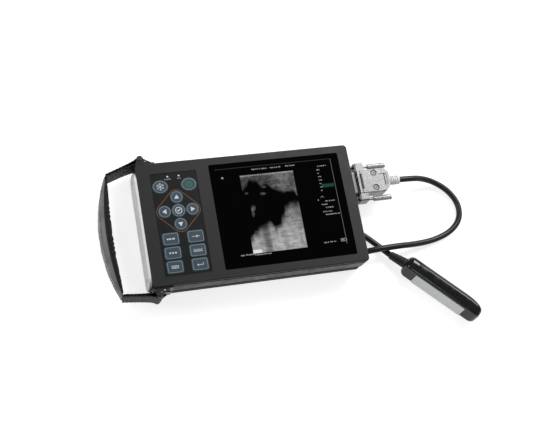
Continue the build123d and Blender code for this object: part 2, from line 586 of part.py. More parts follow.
# ---- hand strap -----------------------------------------------------------------------------
STRAP_ENDS = (                        # side of the case, names, where the webbing meets the grip
    (1, "strap_lug_upper", "webbing_upper", STRAP_TOP),
    (-1, "strap_lug_lower", "webbing_lower", STRAP_BOTTOM),
)


def lug_screw_plane(side):
    """Outer face of a lug's plate, centred on its screw."""
    out_y = CASE_Y + side * (CASE_H / 2 + LUG_T)
    return Plane(origin=(CASE_X + LUG_SCREW_X, out_y, STRAP_Z), x_dir=(1, 0, 0), z_dir=(0, side, 0))


for side, lug_name, web_name, grip_end in STRAP_ENDS:
    wall_y, bar_y = side * CASE_H / 2, side * (CASE_H / 2 + BAR_OUT)
    lug_base = STRAP_Z - LUG_H / 2
    with BuildPart() as strap_lug:
        with BuildSketch(CASE.offset(lug_base)):
            with Locations((LUG_X, wall_y + side * LUG_T / 2)):
                Rectangle(LUG_L, LUG_T)
        extrude(amount=LUG_H)
        for ear_z in (lug_base, lug_base + LUG_H - EAR_T):
            with BuildSketch(CASE.offset(ear_z)):
                with BuildLine():
                    Polyline(
                        (LUG_X - LUG_L / 2, wall_y), (BAR_X - EAR_R, bar_y),
                        (BAR_X + EAR_R, bar_y), (LUG_X + LUG_L / 2, wall_y), close=True
                    )
                make_face()
                with Locations((BAR_X, bar_y)):
                    Circle(EAR_R)
            extrude(amount=EAR_T)
        with BuildSketch(CASE.offset(lug_base)):
            with Locations((BAR_X, bar_y)):
                Circle(BAR_R + 0.05)
        extrude(amount=LUG_H, mode=Mode.SUBTRACT)
        with BuildSketch(lug_screw_plane(side)):
            Circle(LUG_HOLE_R)
        extrude(amount=-LUG_T, mode=Mode.SUBTRACT)
    finish(strap_lug, lug_name)
    with BuildPart() as webbing:
        with BuildSketch(CASE.offset(STRAP_Z - WEB_W / 2)):
            with Locations((BAR_X, bar_y)):
                Circle(BAR_R + 0.1 + WEB_T)
            with BuildLine() as run:
                at_grip = (grip_end[0] + 2.9, grip_end[1] + side * 0.6)
                Line((BAR_X - 2.0, bar_y + side * (BAR_R - 0.2)), at_grip)
            trace(run.edges(), line_width=WEB_T)
            with Locations((BAR_X, bar_y)):
                Circle(BAR_R + 0.1, mode=Mode.SUBTRACT)
        extrude(amount=WEB_W)
    finish(webbing, web_name)

with BuildPart() as strap_pins:
    pin_spots = [(BAR_X, side * (CASE_H / 2 + BAR_OUT)) for side in (-1, 1)]
    with BuildSketch(CASE.offset(STRAP_Z - LUG_H / 2)):
        with Locations(*pin_spots):
            Circle(BAR_R)
    extrude(amount=LUG_H)
    with BuildSketch(CASE.offset(STRAP_Z + LUG_H / 2)):
        with Locations(*pin_spots):
            Circle(BAR_HEAD_R)
    extrude(amount=BAR_HEAD_T)
    fillet(strap_pins.faces().filter_by(Axis.Z).group_by(Axis.Z)[-1].edges(), radius=0.5)
finish(strap_pins, "strap_pins")

with BuildPart() as lug_screws:
    for side in (-1, 1):
        with BuildSketch(lug_screw_plane(side)):
            Circle(LUG_HEAD_R)
        extrude(amount=LUG_HEAD_T)
        with BuildSketch(lug_screw_plane(side)):
            Circle(LUG_HOLE_R - 0.05)
        extrude(amount=-LUG_T)
finish(lug_screws, "lug_screws")

# The grip is a bowed pad, widest across at the middle of its length.
grip_low, grip_high = STRAP_Z - GRIP_W / 2, STRAP_Z + GRIP_W / 2
with BuildPart() as strap_grip:
    with BuildSketch(CASE.offset(grip_low)):
        with BuildLine() as bow:
            ThreePointArc(STRAP_TOP, STRAP_MID, STRAP_BOTTOM)
            ThreePointArc(STRAP_BOTTOM, (STRAP_MID[0] + GRIP_T, STRAP_MID[1]), STRAP_TOP)
        make_face()
        offset(amount=GRIP_EDGE)
    extrude(amount=GRIP_W)
    with BuildSketch(Plane(origin=(CASE_X - 150.0, CASE_Y, 0), x_dir=(0, 1, 0), z_dir=(1, 0, 0))):
        top_y, bottom_y = STRAP_TOP[1] + GRIP_EDGE, STRAP_BOTTOM[1] - GRIP_EDGE
        inset = (GRIP_W - GRIP_END_W) / 2
        with BuildLine():
            mid_y, end_high, end_low = (top_y + bottom_y) / 2, grip_high - inset, grip_low + inset
            upper = ThreePointArc((bottom_y, end_high), (mid_y, grip_high), (top_y, end_high))
            lower = ThreePointArc((bottom_y, end_low), (mid_y, grip_low), (top_y, end_low))
            Line(upper @ 0, lower @ 0)
            Line(upper @ 1, lower @ 1)
        make_face()
    extrude(amount=40.0, mode=Mode.INTERSECT)
finish(strap_grip, "strap_grip")

# ---- probe ----------------------------------------------------------------------------------
# The section's x axis points away from the lens, its y axis up.
heading = radians(PROBE_HEADING)
ALONG = Vector(cos(heading), sin(heading), 0)
BACK = Plane(
    origin=(CASE_X + PROBE_BACK[0], CASE_Y + PROBE_BACK[1], 0),
    x_dir=(-sin(heading), cos(heading), 0), z_dir=ALONG
)


def probe_section(inset=0.0):
    """Cross-section of the probe head, or of the space inside it."""
    with BuildSketch(mode=Mode.PRIVATE) as section:
        with BuildLine():
            Polyline(
                (FOOT_LEFT, 0), (FOOT_RIGHT, 0), (SIDE_RIGHT, SIDE_Z), (TOP_RIGHT, BODY_H),
                (TOP_LEFT, BODY_H), close=True
            )
        make_face()
        fillet(section.vertices(), radius=PROBE_ROUND)
        if inset:
            offset(amount=-inset)
    return section.sketch


# Plane of the lens face: x along the probe, z straight out of the face.
tilt = radians(LENS_TILT)
lens_out = Vector(sin(heading) * cos(tilt), -cos(heading) * cos(tilt), sin(tilt))
lens_mid = BACK.from_local_coords((
    FOOT_LEFT + PROBE_AXIS_Z * tan(tilt), PROBE_AXIS_Z, LENS_START + LENS_L / 2
))
LENS = Plane(origin=lens_mid, x_dir=ALONG, z_dir=lens_out)
SPLIT = Plane(origin=BACK.from_local_coords((1.0, 0, 0)), x_dir=ALONG, z_dir=-BACK.x_dir)
with BuildPart() as probe_body:
    with BuildSketch(BACK):
        add(probe_section())
    extrude(amount=PROBE_L)
    ends = probe_body.faces().sort_by(Axis(BACK.origin, ALONG))
    fillet(ends[0].edges() + ends[-1].edges(), radius=PROBE_ROUND - 0.5)
    with BuildSketch(BACK.offset(PROBE_ROUND)):
        add(probe_section(PROBE_WALL + 1.0))
    extrude(amount=PROBE_L - 2 * PROBE_ROUND, mode=Mode.SUBTRACT)
    with BuildSketch(LENS):
        RectangleRounded(LENS_L, LENS_W, 1.2)
    extrude(amount=-PROBE_WALL - 6.0, mode=Mode.SUBTRACT)

for name, keep in (("probe_shell_lens_side", Keep.TOP), ("probe_shell_back", Keep.BOTTOM)):
    with BuildPart() as probe_shell:
        add(probe_body.part)
        split(bisect_by=SPLIT, keep=keep)
    finish(probe_shell, name)

LAYERS = (("probe_lens", 0.25, LENS_T), ("transducer_array", -1.4, 1.0), ("backing_block", -2.5, 5.0))
for name, top, thick in LAYERS:
    trim = 0.2 if name == "probe_lens" else 3.0
    with BuildPart() as layer:
        with BuildSketch(LENS.offset(top)):
            RectangleRounded(LENS_L - trim, LENS_W - trim, 1.0)
        extrude(amount=-thick)
        if name == "probe_lens":
            fillet(layer.faces().sort_by(Axis(lens_mid, lens_out))[-1].edges(), radius=0.25)
    finish(layer, name)

# ---- probe cable ----------------------------------------------------------------------------
# From the plug's strain relief, round a loose loop on the table, over its own other end,
# under the case and back in three lanes between the rails, out again and into the probe's boot.
ROUTE = [                             # from the middle of the case
    (157.5, 23.05, 18.0), (171.5, 23.05, 18.0), (186.5, 23.6, 11.2), (202.0, 20.0, 4.6),
    (215.0, 10.0, 3.2), (222.6, -5.0, 3.1), (220.4, -21.0, 3.1), (207.5, -32.8, 3.2),
    (187.5, -39.6, 3.6), (165.0, -42.2, 7.2), (144.0, -42.9, 12.2), (120.0, -43.8, 12.2),
    (100.5, -44.3, 4.4), (78.0, -44.6, 3.4), (42.0, -45.8, 3.2), (-8.0, -46.7, 3.2),
    (-64.0, -46.2, 3.2), (-93.0, -19.5, 3.2), (-93.5, 18.5, 3.2), (-68.0, 45.6, 3.2),
    (-12.0, 45.0, 3.2), (36.0, 46.2, 3.2), (68.0, 45.8, 3.2), (81.0, 33.0, 3.2),
    (81.0, 15.0, 3.2), (68.5, 2.4, 3.2), (40.0, 2.0, 3.2), (-10.0, 4.0, 3.2),
    (-44.0, 3.8, 3.2), (-57.0, -9.2, 3.2), (-57.0, -26.6, 3.2), (-44.3, -39.0, 3.2),
    (-14.0, -38.2, 3.2), (26.0, -38.6, 3.2), (56.0, -33.0, 3.2), (79.0, -20.5, 3.2),
    (97.0, -15.5, 3.2), (113.5, -24.5, 3.2), (127.0, -38.0, 3.6), BOOT_TIP,
]
points = [Vector(CASE_X + x, CASE_Y + y, z) for x, y, z in ROUTE]


def corner_radii(points):
    """Radius of the arc at each inner point: as large as its two runs allow."""
    radii = []
    for before, corner, after in zip(points, points[1:], points[2:]):
        run_in, run_out = corner - before, after - corner
        half_turn = radians(run_in.get_angle(run_out)) / 2
        radii.append(0.45 * min(run_in.length, run_out.length) / tan(half_turn))
    return radii


radii = corner_radii(points)
with BuildPart() as probe_cable:
    with BuildLine() as route:
        FilletPolyline(*points, radius=radii)
    with BuildSketch(RIGHT.offset(RELIEF_END_X)):
        Circle(CABLE_D / 2)
    sweep()
finish(probe_cable, "probe_cable")
cable_length = route.wire().length
print("cable length", round(cable_length, 1), "smallest radii", sorted(round(r, 1) for r in radii)[:6])
print("cable volume over section times length",
      round(probe_cable.part.volume / (pi * CABLE_D ** 2 / 4 * cable_length), 4))

tip_plane = Plane(origin=points[-1], z_dir=points[-1] - points[-2])
base_plane = Plane(origin=BACK.from_local_coords((BOOT_SIDE, PROBE_AXIS_Z, 0)), z_dir=ALONG)
with BuildPart() as probe_boot:
    with BuildSketch(tip_plane):
        Circle(BOOT_TIP_R)
    with BuildSketch(base_plane):
        Circle(BOOT_BASE_R)
    loft()
finish(probe_boot, "probe_boot")
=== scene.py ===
import math
import random

import bmesh
import bpy
from mathutils import Matrix, Vector


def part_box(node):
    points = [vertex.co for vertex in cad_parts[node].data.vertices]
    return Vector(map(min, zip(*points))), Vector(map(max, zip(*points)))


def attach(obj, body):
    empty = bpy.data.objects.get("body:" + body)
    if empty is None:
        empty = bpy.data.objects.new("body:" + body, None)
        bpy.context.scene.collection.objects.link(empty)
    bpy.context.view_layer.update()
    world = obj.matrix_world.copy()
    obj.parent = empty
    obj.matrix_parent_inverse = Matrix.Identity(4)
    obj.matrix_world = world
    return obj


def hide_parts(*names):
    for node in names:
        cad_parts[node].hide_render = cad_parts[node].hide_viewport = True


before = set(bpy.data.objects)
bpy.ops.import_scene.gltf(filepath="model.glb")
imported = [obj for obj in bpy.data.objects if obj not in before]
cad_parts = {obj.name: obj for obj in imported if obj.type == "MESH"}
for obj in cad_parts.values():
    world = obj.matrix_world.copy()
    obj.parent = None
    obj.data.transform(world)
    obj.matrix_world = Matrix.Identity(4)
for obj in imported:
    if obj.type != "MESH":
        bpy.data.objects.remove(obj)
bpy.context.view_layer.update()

# Metres, in the CAD model's frame. Plan positions are taken from the middle of the case.
MM = 0.001
case_lo, case_hi = (Vector(corner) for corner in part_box("front_shell"))
CASE = Vector(((case_lo.x + case_hi.x) / 2, (case_lo.y + case_hi.y) / 2, 0))
HALF_W, HALF_H = (case_hi.x - case_lo.x) / 2, (case_hi.y - case_lo.y) / 2


def place(x, y, z):
    """A point given in millimetres from the middle of the case, with z above the table."""
    return CASE + Vector((x, y, z)) * MM


def new_object(name, data):
    made = bpy.data.objects.new(name, data)
    bpy.context.collection.objects.link(made)
    return made


# ---- camera ----
LENS, SENSOR = 68.2, 36.0
CAMERA_AT = (-228.06, -256.29, 924.35)
CAMERA_LOOK, CAMERA_ROLL = (0.25217, 0.25831, -0.93257), math.radians(35.8)


def add_camera():
    """Seen from above and in front, with the case turned a little in the picture."""
    camera = new_object("camera", bpy.data.cameras.new("camera"))
    camera.data.lens, camera.data.sensor_width = LENS, SENSOR
    aim = Vector(CAMERA_LOOK).to_track_quat("-Z", "Y").to_matrix().to_4x4()
    camera.matrix_world = (Matrix.Translation(place(*CAMERA_AT)) @ aim
                           @ Matrix.Rotation(CAMERA_ROLL, 4, "Z"))
    bpy.context.scene.camera = camera


add_camera()


# ---- node materials ----
class Field:
    """A number that varies over a surface. Arithmetic on fields adds nodes to their tree."""

    def __init__(self, tree, socket):
        self.tree, self.socket = tree, socket

    def math(self, operation, *others):
        node = self.tree.nodes.new("ShaderNodeMath")
        node.operation = operation
        for value, socket in zip((self, *others), node.inputs):
            if isinstance(value, Field):
                self.tree.links.new(value.socket, socket)
            else:
                socket.default_value = value
        return Field(self.tree, node.outputs[0])

    def __add__(self, other):
        return self.math("ADD", other)

    def __sub__(self, other):
        return self.math("SUBTRACT", other)

    def __mul__(self, other):
        return self.math("MULTIPLY", other)

    def __abs__(self):
        return self.math("ABSOLUTE")

    def most(self, other):
        return self.math("MAXIMUM", other)

    def ramp(self, start, end, low=0.0, high=1.0, smooth=True):
        """low up to start, high beyond end, and between them a smooth or straight change."""
        node = self.tree.nodes.new("ShaderNodeMapRange")
        node.interpolation_type = "SMOOTHSTEP" if smooth else "LINEAR"
        self.tree.links.new(self.socket, node.inputs["Value"])
        for name, value in (("From Min", start), ("From Max", end), ("To Min", low), ("To Max", high)):
            node.inputs[name].default_value = value
        return Field(self.tree, node.outputs["Result"])

    def curve(self, *stops):
        """A smooth curve through (place, value) stops, all from 0 to 1."""
        node = self.tree.nodes.new("ShaderNodeValToRGB")
        node.color_ramp.interpolation = "EASE"
        elements = node.color_ramp.elements
        while len(elements) < len(stops):
            elements.new(0.5)
        for element, (position, value) in zip(elements, stops):
            element.position, element.color = position, (value, value, value, 1)
        self.tree.links.new(self.socket, node.inputs["Fac"])
        return Field(self.tree, node.outputs["Color"])


class Finish:
    """A material whose pattern is fixed to the piece, in millimetres from the middle of the case."""

    def __init__(self, name, color, roughness, **shader):
        self.material = bpy.data.materials.new(name)
        self.material.use_nodes = True
        self.material.diffuse_color = (*color, 1)
        self.tree = self.material.node_tree
        self.shader = self.tree.nodes["Principled BSDF"]
        self.shader.inputs["Base Color"].default_value = (*color, 1)
        self.shader.inputs["Roughness"].default_value = roughness
        for socket, value in shader.items():
            self.shader.inputs[socket.replace("_", " ")].default_value = value
        self.color, self.normal = color, None
        coordinates = self.tree.nodes.new("ShaderNodeTexCoord").outputs["Object"]
        self.place = self.tree.nodes.new("ShaderNodeMapping")
        self.place.inputs["Location"].default_value = -CASE / MM
        self.place.inputs["Scale"].default_value = (1 / MM, 1 / MM, 1 / MM)
        self.tree.links.new(coordinates, self.place.inputs["Vector"])
        split = self.tree.nodes.new("ShaderNodeSeparateXYZ")
        self.tree.links.new(self.place.outputs["Vector"], split.inputs[0])
        self.x, self.y, self.z = (Field(self.tree, split.outputs[axis]) for axis in "XYZ")

    def noise(self, size, detail=2.0, stretch=(1, 1, 1), rough=0.5):
        """Cloudy noise, with blobs of about that size in millimetres, longer along a stretched axis."""
        return self._texture("ShaderNodeTexNoise", size, stretch, "Fac", Detail=detail, Roughness=rough)

    def cells(self, size, stretch=(1, 1, 1)):
        """Distance from the middle of irregular cells of about that size in millimetres."""
        return self._texture("ShaderNodeTexVoronoi", size, stretch, "Distance")

    def _texture(self, kind, size, stretch, output, **inputs):
        scale = self.tree.nodes.new("ShaderNodeMapping")
        scale.inputs["Scale"].default_value = [1 / (size * factor) for factor in stretch]
        self.tree.links.new(self.place.outputs["Vector"], scale.inputs["Vector"])
        texture = self.tree.nodes.new(kind)
        texture.inputs["Scale"].default_value = 1.0
        for name, value in inputs.items():
            texture.inputs[name].default_value = value
        self.tree.links.new(scale.outputs["Vector"], texture.inputs["Vector"])
        return Field(self.tree, texture.outputs[output])

    def colors(self, field, low, high):
        """The colour goes from low to high with the field."""
        mix = self.tree.nodes.new("ShaderNodeMix")
        mix.data_type = "RGBA"
        self.tree.links.new(field.socket, mix.inputs["Factor"])
        for name, color in (("A", low), ("B", high)):
            socket = [s for s in mix.inputs if s.name == name and s.type == "RGBA"][0]
            socket.default_value = (*color, 1)
        result = [s for s in mix.outputs if s.type == "RGBA"][0]
        self.tree.links.new(result, self.shader.inputs["Base Color"])
        return self

    def shade(self, field, darker, lighter):
        """The colour varies about the base colour, from darker to lighter times it."""
        return self.colors(field, [c * darker for c in self.color], [c * lighter for c in self.color])

    def roughness(self, field, low, high):
        value = field.ramp(0, 1, low, high, smooth=False)
        self.tree.links.new(value.socket, self.shader.inputs["Roughness"])
        return self

    def bump(self, field, depth):
        """Relief of that depth in millimetres where the field is 1."""
        node = self.tree.nodes.new("ShaderNodeBump")
        node.inputs["Distance"].default_value = depth * MM
        self.tree.links.new(field.socket, node.inputs["Height"])
        if self.normal:
            self.tree.links.new(self.normal, node.inputs["Normal"])
        self.normal = node.outputs["Normal"]
        self.tree.links.new(self.normal, self.shader.inputs["Normal"])
        return self

    def glow(self, field):
        """Grey light from the surface, as bright as the field."""
        self.tree.links.new(field.socket, self.shader.inputs["Emission Color"])
        self.shader.inputs["Emission Strength"].default_value = 1.0
        return self


def moulded(name, grey, roughness, grain=0.35, depth=0.02, tint=(1, 1, 1), sheen=0.3):
    """Moulded plastic with a fine spark-eroded grain, faint mottling and uneven sheen."""
    finish = Finish(name, [grey * t for t in tint], roughness, Specular_IOR_Level=sheen)
    mottle = finish.noise(9.0, detail=4)
    finish.shade(mottle.ramp(0.3, 0.7), 0.9, 1.12)
    finish.roughness(mottle, roughness - 0.1, roughness + 0.08)
    finish.bump(finish.noise(grain, detail=3), depth)
    return finish


def case_plastic():
    """The face and back of the case: matte charcoal, rubbed a little shinier along its outer edges."""
    finish = Finish("charcoal case", (0.0080, 0.0080, 0.0086), 0.5, Specular_IOR_Level=0.28)
    worn = 2.2                        # width of the rubbed band
    to_end = abs(finish.x) - (HALF_W / MM - worn)
    to_side = abs(finish.y) - (HALF_H / MM - worn)
    rub = to_end.most(to_side).ramp(0.6, worn) * finish.noise(5.0, detail=5).ramp(0.42, 0.6)
    mottle = finish.noise(14.0, detail=5).ramp(0.3, 0.7)
    finish.shade(mottle * 0.4 + rub * 0.9, 0.95, 1.3)
    finish.roughness(finish.noise(11.0, detail=4) - rub * 0.35, 0.4, 0.62)
    finish.bump(finish.noise(0.42, detail=3), 0.028)
    return finish


def rubber(name, grey=0.012, roughness=0.75):
    finish = Finish(name, (grey, grey, grey), roughness, Specular_IOR_Level=0.3)
    finish.shade(finish.noise(6.0, detail=4), 0.8, 1.3)
    finish.bump(finish.noise(0.5, detail=2), 0.03)
    return finish


def brushed(name, color, roughness, stretch, line=0.12, metallic=1.0):
    """Metal or metallic paint with fine lines, longer along the stretched axis."""
    finish = Finish(name, color, roughness, Metallic=metallic)
    lines = finish.noise(line, detail=3, stretch=stretch)
    finish.shade(finish.noise(7.0, detail=3), 0.88, 1.1)
    finish.roughness(lines, roughness - 0.08, roughness + 0.14)
    finish.bump(lines, 0.006)
    return finish


def cast_metal(name, grey, slots=(), holes=()):
    """Zinc casting: slightly uneven, with small pits; painted shade darkens it over its slots, and a painted
    shadow darkens a disc round each of its holes.
    """
    finish = Finish(name, (grey, grey, grey * 1.01), 0.4, Metallic=0.7)
    uneven = finish.noise(1.6, detail=5)
    tone_and_shade = uneven.ramp(0.3, 0.7, 0.55, 1.0) * finish.noise(0.5, detail=3).ramp(0.25, 0.7, 0.72, 1.0)
    # Painted shade: each slot is darkened to stand for the shade inside it.
    for x, y, half_l, half_w in slots:
        off_x = abs(finish.x - x) - half_l
        off_y = abs(finish.y - y) - half_w
        tone_and_shade = tone_and_shade * off_x.most(off_y).ramp(-0.2, 0.3, 0.1, 1.0)
    # Painted shadow: a dark disc round each hole stands for the shade of the screw recess.
    for x, y, radius in holes:
        off_x, off_y = finish.x - x, finish.y - y
        tone_and_shade = tone_and_shade * (off_x * off_x + off_y * off_y).ramp((radius - 0.3) ** 2, radius ** 2, 0.12, 1.0)
    finish.shade(tone_and_shade, 0.05, 1.2)
    finish.roughness(uneven, 0.3, 0.52)
    finish.bump(finish.noise(0.9, detail=4), 0.07)
    return finish


def circuit_board(name):
    finish = Finish(name, (0.012, 0.10, 0.045), 0.35)
    tracks = finish.cells(2.4, stretch=(3, 1, 1)).ramp(0.35, 0.45)
    finish.colors(tracks, (0.010, 0.12, 0.05), (0.02, 0.17, 0.08))
    finish.bump(tracks, 0.03)
    return finish


def display_glass():
    """Glossy black window with a scan shown behind it: layers of tissue round a dark hollow."""
    finish = Finish("display window", (0.0006, 0.0006, 0.0008), 0.06, Specular_IOR_Level=0.045)
    finish.roughness(finish.noise(22.0, detail=3), 0.04, 0.10)
    across = (finish.x - SCAN_LEFT).math("DIVIDE", SCAN_RIGHT - SCAN_LEFT)
    down = (finish.y * -1.0 + SCAN_TOP).math("DIVIDE", SCAN_TOP - SCAN_BOTTOM)
    inside = (across.ramp(0.0, 0.006) * across.ramp(0.994, 1.0, 1, 0)
              * down.ramp(0.0, 0.004) * down.ramp(0.996, 1.0, 1, 0))
    wavy = down + (finish.noise(5.0, detail=5) - 0.5) * 0.075
    near_edge = across.curve((0.0, 0.20), (0.08, 0.15), (0.15, 0.08), (0.27, 0.09), (0.36, 0.17),
                             (0.44, 0.14), (0.58, 0.22), (0.78, 0.27), (0.93, 0.26), (1.0, 0.34))
    far_edge = across.curve((0.0, 0.80), (0.12, 0.73), (0.28, 0.66), (0.41, 0.63), (0.49, 0.70),
                            (0.57, 0.67), (0.67, 0.57), (0.74, 0.45), (0.84, 0.42), (1.0, 0.41))
    near = (wavy - near_edge).ramp(-0.045, 0.02, 1, 0)
    far = (wavy - far_edge).ramp(-0.03, 0.10)
    speckle = finish.noise(0.8, detail=4, stretch=(1.7, 1, 1), rough=0.65).ramp(0.3, 0.72)
    streaks = finish.noise(1.3, detail=3, stretch=(6, 1, 1)).ramp(0.42, 0.66)
    patches = finish.noise(5.0, detail=4).ramp(0.34, 0.66)
    columns = finish.noise(4.0, detail=2, stretch=(1, 9, 1)).ramp(0.3, 0.7, 0.82, 1.08)
    shadow = abs(across - 0.31).ramp(0.01, 0.11, 0.42, 1.0)
    lobe = across.ramp(0.42, 0.8, 0.55, 1.1)
    near_light = (speckle * 0.09 + patches * 0.09 + streaks * 0.04 + 0.012) * near * lobe
    deep = down.ramp(0.5, 0.9, 0.6, 1.15)
    far_light = (speckle * 0.18 + streaks * 0.10 + patches * 0.10 + 0.14) * far * shadow * columns * deep
    skin = down.ramp(0.008, 0.030, 0.22, 0.0) * speckle.ramp(0.1, 0.6, 0.4, 1.0)
    floor_echo = down.ramp(0.925, 0.97) * across.ramp(0.13, 0.23, 0.75, 0.0)
    spots = inside * 0.0
    for u, v, wide, high, light in SCAN_SPOTS:
        left, up = (across - u) * (1 / wide), (down - v) * (1 / high)
        reach = left * left + up * up + patches * 0.7
        spots = spots + reach.ramp(0.2, 1.6, light, 0.0) * speckle.ramp(0.0, 0.7, 0.4, 1.0)
    picture = (near_light + far_light.most(floor_echo * far) + skin + spots) * inside
    right_line = (abs(finish.x - LCD_RIGHT).ramp(0.12, 0.3, 0.16, 0.0)
                  * abs(finish.y - LCD_Y).ramp(42.8, 43.2, 1, 0))
    top_line = (abs(finish.y - LCD_TOP).ramp(0.15, 0.4, 0.035, 0.0)
                * abs(finish.x - LCD_X).ramp(57.0, 57.6, 1, 0))
    finish.glow(picture + right_line + top_line)
    return finish


def silicone(name, color, edge_highlight):
    """Key caps: a satin top and a paler rounded edge, a painted highlight along the edge."""
    finish = Finish(name, color, 0.42, Specular_IOR_Level=0.28)
    # Painted highlight: the edge and sides below the top are paler than the top.
    finish.colors(finish.z.ramp(KEY_TOP - 0.20, KEY_TOP - 0.03), edge_highlight, color)
    finish.roughness(finish.noise(3.0, detail=3), 0.34, 0.5)
    finish.bump(finish.noise(0.3, detail=2), 0.008)
    return finish


def painted(name, color, roughness=0.45):
    """Screen-printed ink, a little thin in places; the pale ring on each key, a painted highlight, uses it
    too.
    """
    finish = Finish(name, color, roughness, Specular_IOR_Level=0.3)
    return finish.shade(finish.noise(0.6, detail=3).ramp(0.3, 0.6), 0.78, 1.0)


def shining(name, color):
    """A mark of the display's picture, behind the same dark glass."""
    finish = Finish(name, (0.004, 0.004, 0.004), 0.1, Specular_IOR_Level=0.07)
    finish.shade(finish.noise(1.5, detail=2), 0.8, 1.2)
    finish.shader.inputs["Emission Color"].default_value = (*color, 1)
    finish.shader.inputs["Emission Strength"].default_value = 1.0
    return finish


def gloss_plastic(name, grey):
    """Polished black plastic with faint handling haze."""
    finish = Finish(name, (grey, grey, grey * 1.03), 0.15, Specular_IOR_Level=0.32, Coat_Weight=0.5,
                    Coat_Roughness=0.05, Coat_IOR=1.25)
    haze = finish.noise(7.0, detail=5)
    finish.shade(haze, 0.85, 1.2)
    finish.roughness(haze.ramp(0.35, 0.7), 0.08, 0.2)
    finish.bump(finish.noise(5.0, detail=2), 0.012)
    return finish


def woven(name, grey):
    """Braided yarn: fine fibres, with painted shade in the hollows of the braid and a painted highlight on
    its raised strands.
    """
    finish = Finish(name, (grey, grey, grey), 0.5, Specular_IOR_Level=0.3)
    fibres = finish.noise(0.22, detail=3, stretch=(4, 4, 1))
    lay_relief_and_shade = finish.cells(2.0, stretch=(1.3, 1.3, 0.8)).ramp(0.25, 0.75, 1.0, 0.0)
    # Painted shade and highlight: the colour follows the braid's relief, dark in the hollows and light on the
    # tops.
    finish.shade(lay_relief_and_shade * fibres.ramp(0.3, 0.7, 0.5, 1.0), 0.35, 2.6)
    finish.bump(lay_relief_and_shade, 0.35)
    finish.roughness(fibres, 0.3, 0.6)
    finish.bump(fibres, 0.08)
    return finish


def leathercloth(name, grey):
    """Coated cloth of the grip: a fine pebble grain, greyer where the hand rubs it."""
    finish = Finish(name, (grey, grey, grey), 0.55, Specular_IOR_Level=0.4)
    pebbles = finish.cells(0.8)
    rubbed = finish.noise(16.0, detail=5).ramp(0.35, 0.65)
    finish.shade(rubbed, 0.8, 1.2)
    finish.roughness(rubbed, 0.62, 0.45)
    finish.bump(pebbles, 0.03)
    finish.bump(finish.noise(2.5, detail=4), 0.05)
    return finish


def jacket(name):
    """Satin cable jacket with the faint drag lines of extrusion."""
    finish = Finish(name, (0.009, 0.009, 0.010), 0.36, Specular_IOR_Level=0.28)
    finish.shade(finish.noise(9.0, detail=4), 0.8, 1.3)
    finish.roughness(finish.noise(4.0, detail=4), 0.28, 0.45)
    finish.bump(finish.noise(0.8, detail=2), 0.012)
    return finish


def lens_silicone(name):
    finish = Finish(name, (0.52, 0.52, 0.52), 0.42, Subsurface_Weight=0.05)
    finish.shade(finish.noise(4.0, detail=4), 0.93, 1.05)
    finish.roughness(finish.noise(6.0, detail=3), 0.34, 0.5)
    finish.bump(finish.noise(0.7, detail=2), 0.01)
    return finish


# Areas of the display and the heights of printed things, in millimetres from the middle of the case.
SCAN_LEFT, SCAN_RIGHT, SCAN_TOP, SCAN_BOTTOM = -7.1, 45.7, 38.0, -39.1
SCAN_SPOTS = (                        # echoes in the hollow: shares across and down, half sizes, light
    (0.07, 0.235, 0.035, 0.016, 0.06), (0.37, 0.262, 0.065, 0.022, 0.11),
    (0.41, 0.175, 0.050, 0.020, 0.06), (0.145, 0.43, 0.045, 0.040, 0.10),
    (0.125, 0.49, 0.030, 0.060, 0.08),
)
LCD_X, LCD_Y, LCD_RIGHT, LCD_TOP = 27.3, 3.0, 84.9, 46.1
KEY_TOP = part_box("key_ok")[1][2] / MM
PAD_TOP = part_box("keypad_overlay")[1][2] / MM
GLASS_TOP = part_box("lcd_window")[1][2] / MM
KEY_FLANGE = 0.4                      # each key's hidden flange stands out this far all round
INK, SUNK = 0.03, 0.01                # how far a printed mark stands above its surface and below it
# Painted shade on the plug hood: dark patches over its slots and dark discs round its screw holes.
HOOD_SLOT_SHADES = ((116.5, 23.05, 1.2, 8.0), (140.6, 23.05, 0.6, 6.0))     # middle and half sizes
HOOD_HOLE_SHADES = ((130.0, 15.55, 3.4), (130.0, 30.55, 3.4))               # middle and radius

case = case_plastic()
cover = moulded("battery cover", 0.020, 0.55)
black_rubber = rubber("black rubber", 0.012)
seal_rubber = rubber("seal rubber", 0.006, 0.85)
silver = brushed("silver end plate", (0.60, 0.60, 0.61), 0.5, (1, 60, 1), metallic=0.25)
screw_steel = brushed("screw steel", (0.42, 0.42, 0.43), 0.3, (1, 1, 1), line=0.4)
glass = display_glass()
lcd_frame = moulded("display module", 0.02, 0.4)
dark_steel = brushed("blued steel", (0.075, 0.075, 0.08), 0.26, (1, 1, 1), line=0.4)
zinc_screw = brushed("zinc screw", (0.15, 0.15, 0.15), 0.3, (1, 1, 1), line=0.4)
bright_steel = brushed("bright rivet", (0.33, 0.33, 0.33), 0.3, (1, 1, 1), line=0.4)
plated = brushed("plated steel", (0.55, 0.55, 0.54), 0.28, (20, 1, 1))
board = circuit_board("circuit board")
battery = moulded("battery wrap", 0.05, 0.35, tint=(0.5, 0.8, 1.6))
panel = moulded("keypad panel", 0.006, 0.45, grain=0.25, depth=0.012, sheen=0.14)
orange = painted("orange line", (0.200, 0.078, 0.036), 0.45)
indicator = painted("indicator", (0.60, 0.60, 0.58), 0.25)
mat = rubber("key mat", 0.25, 0.6)
# The last colour given to each key is its painted edge highlight.
key_slate = silicone("slate keys", (0.030, 0.046, 0.064), (0.12, 0.17, 0.19))
key_teal = silicone("teal key", (0.022, 0.050, 0.056), (0.12, 0.17, 0.19))
halo = painted("teal halo", (0.010, 0.050, 0.058), 0.35)
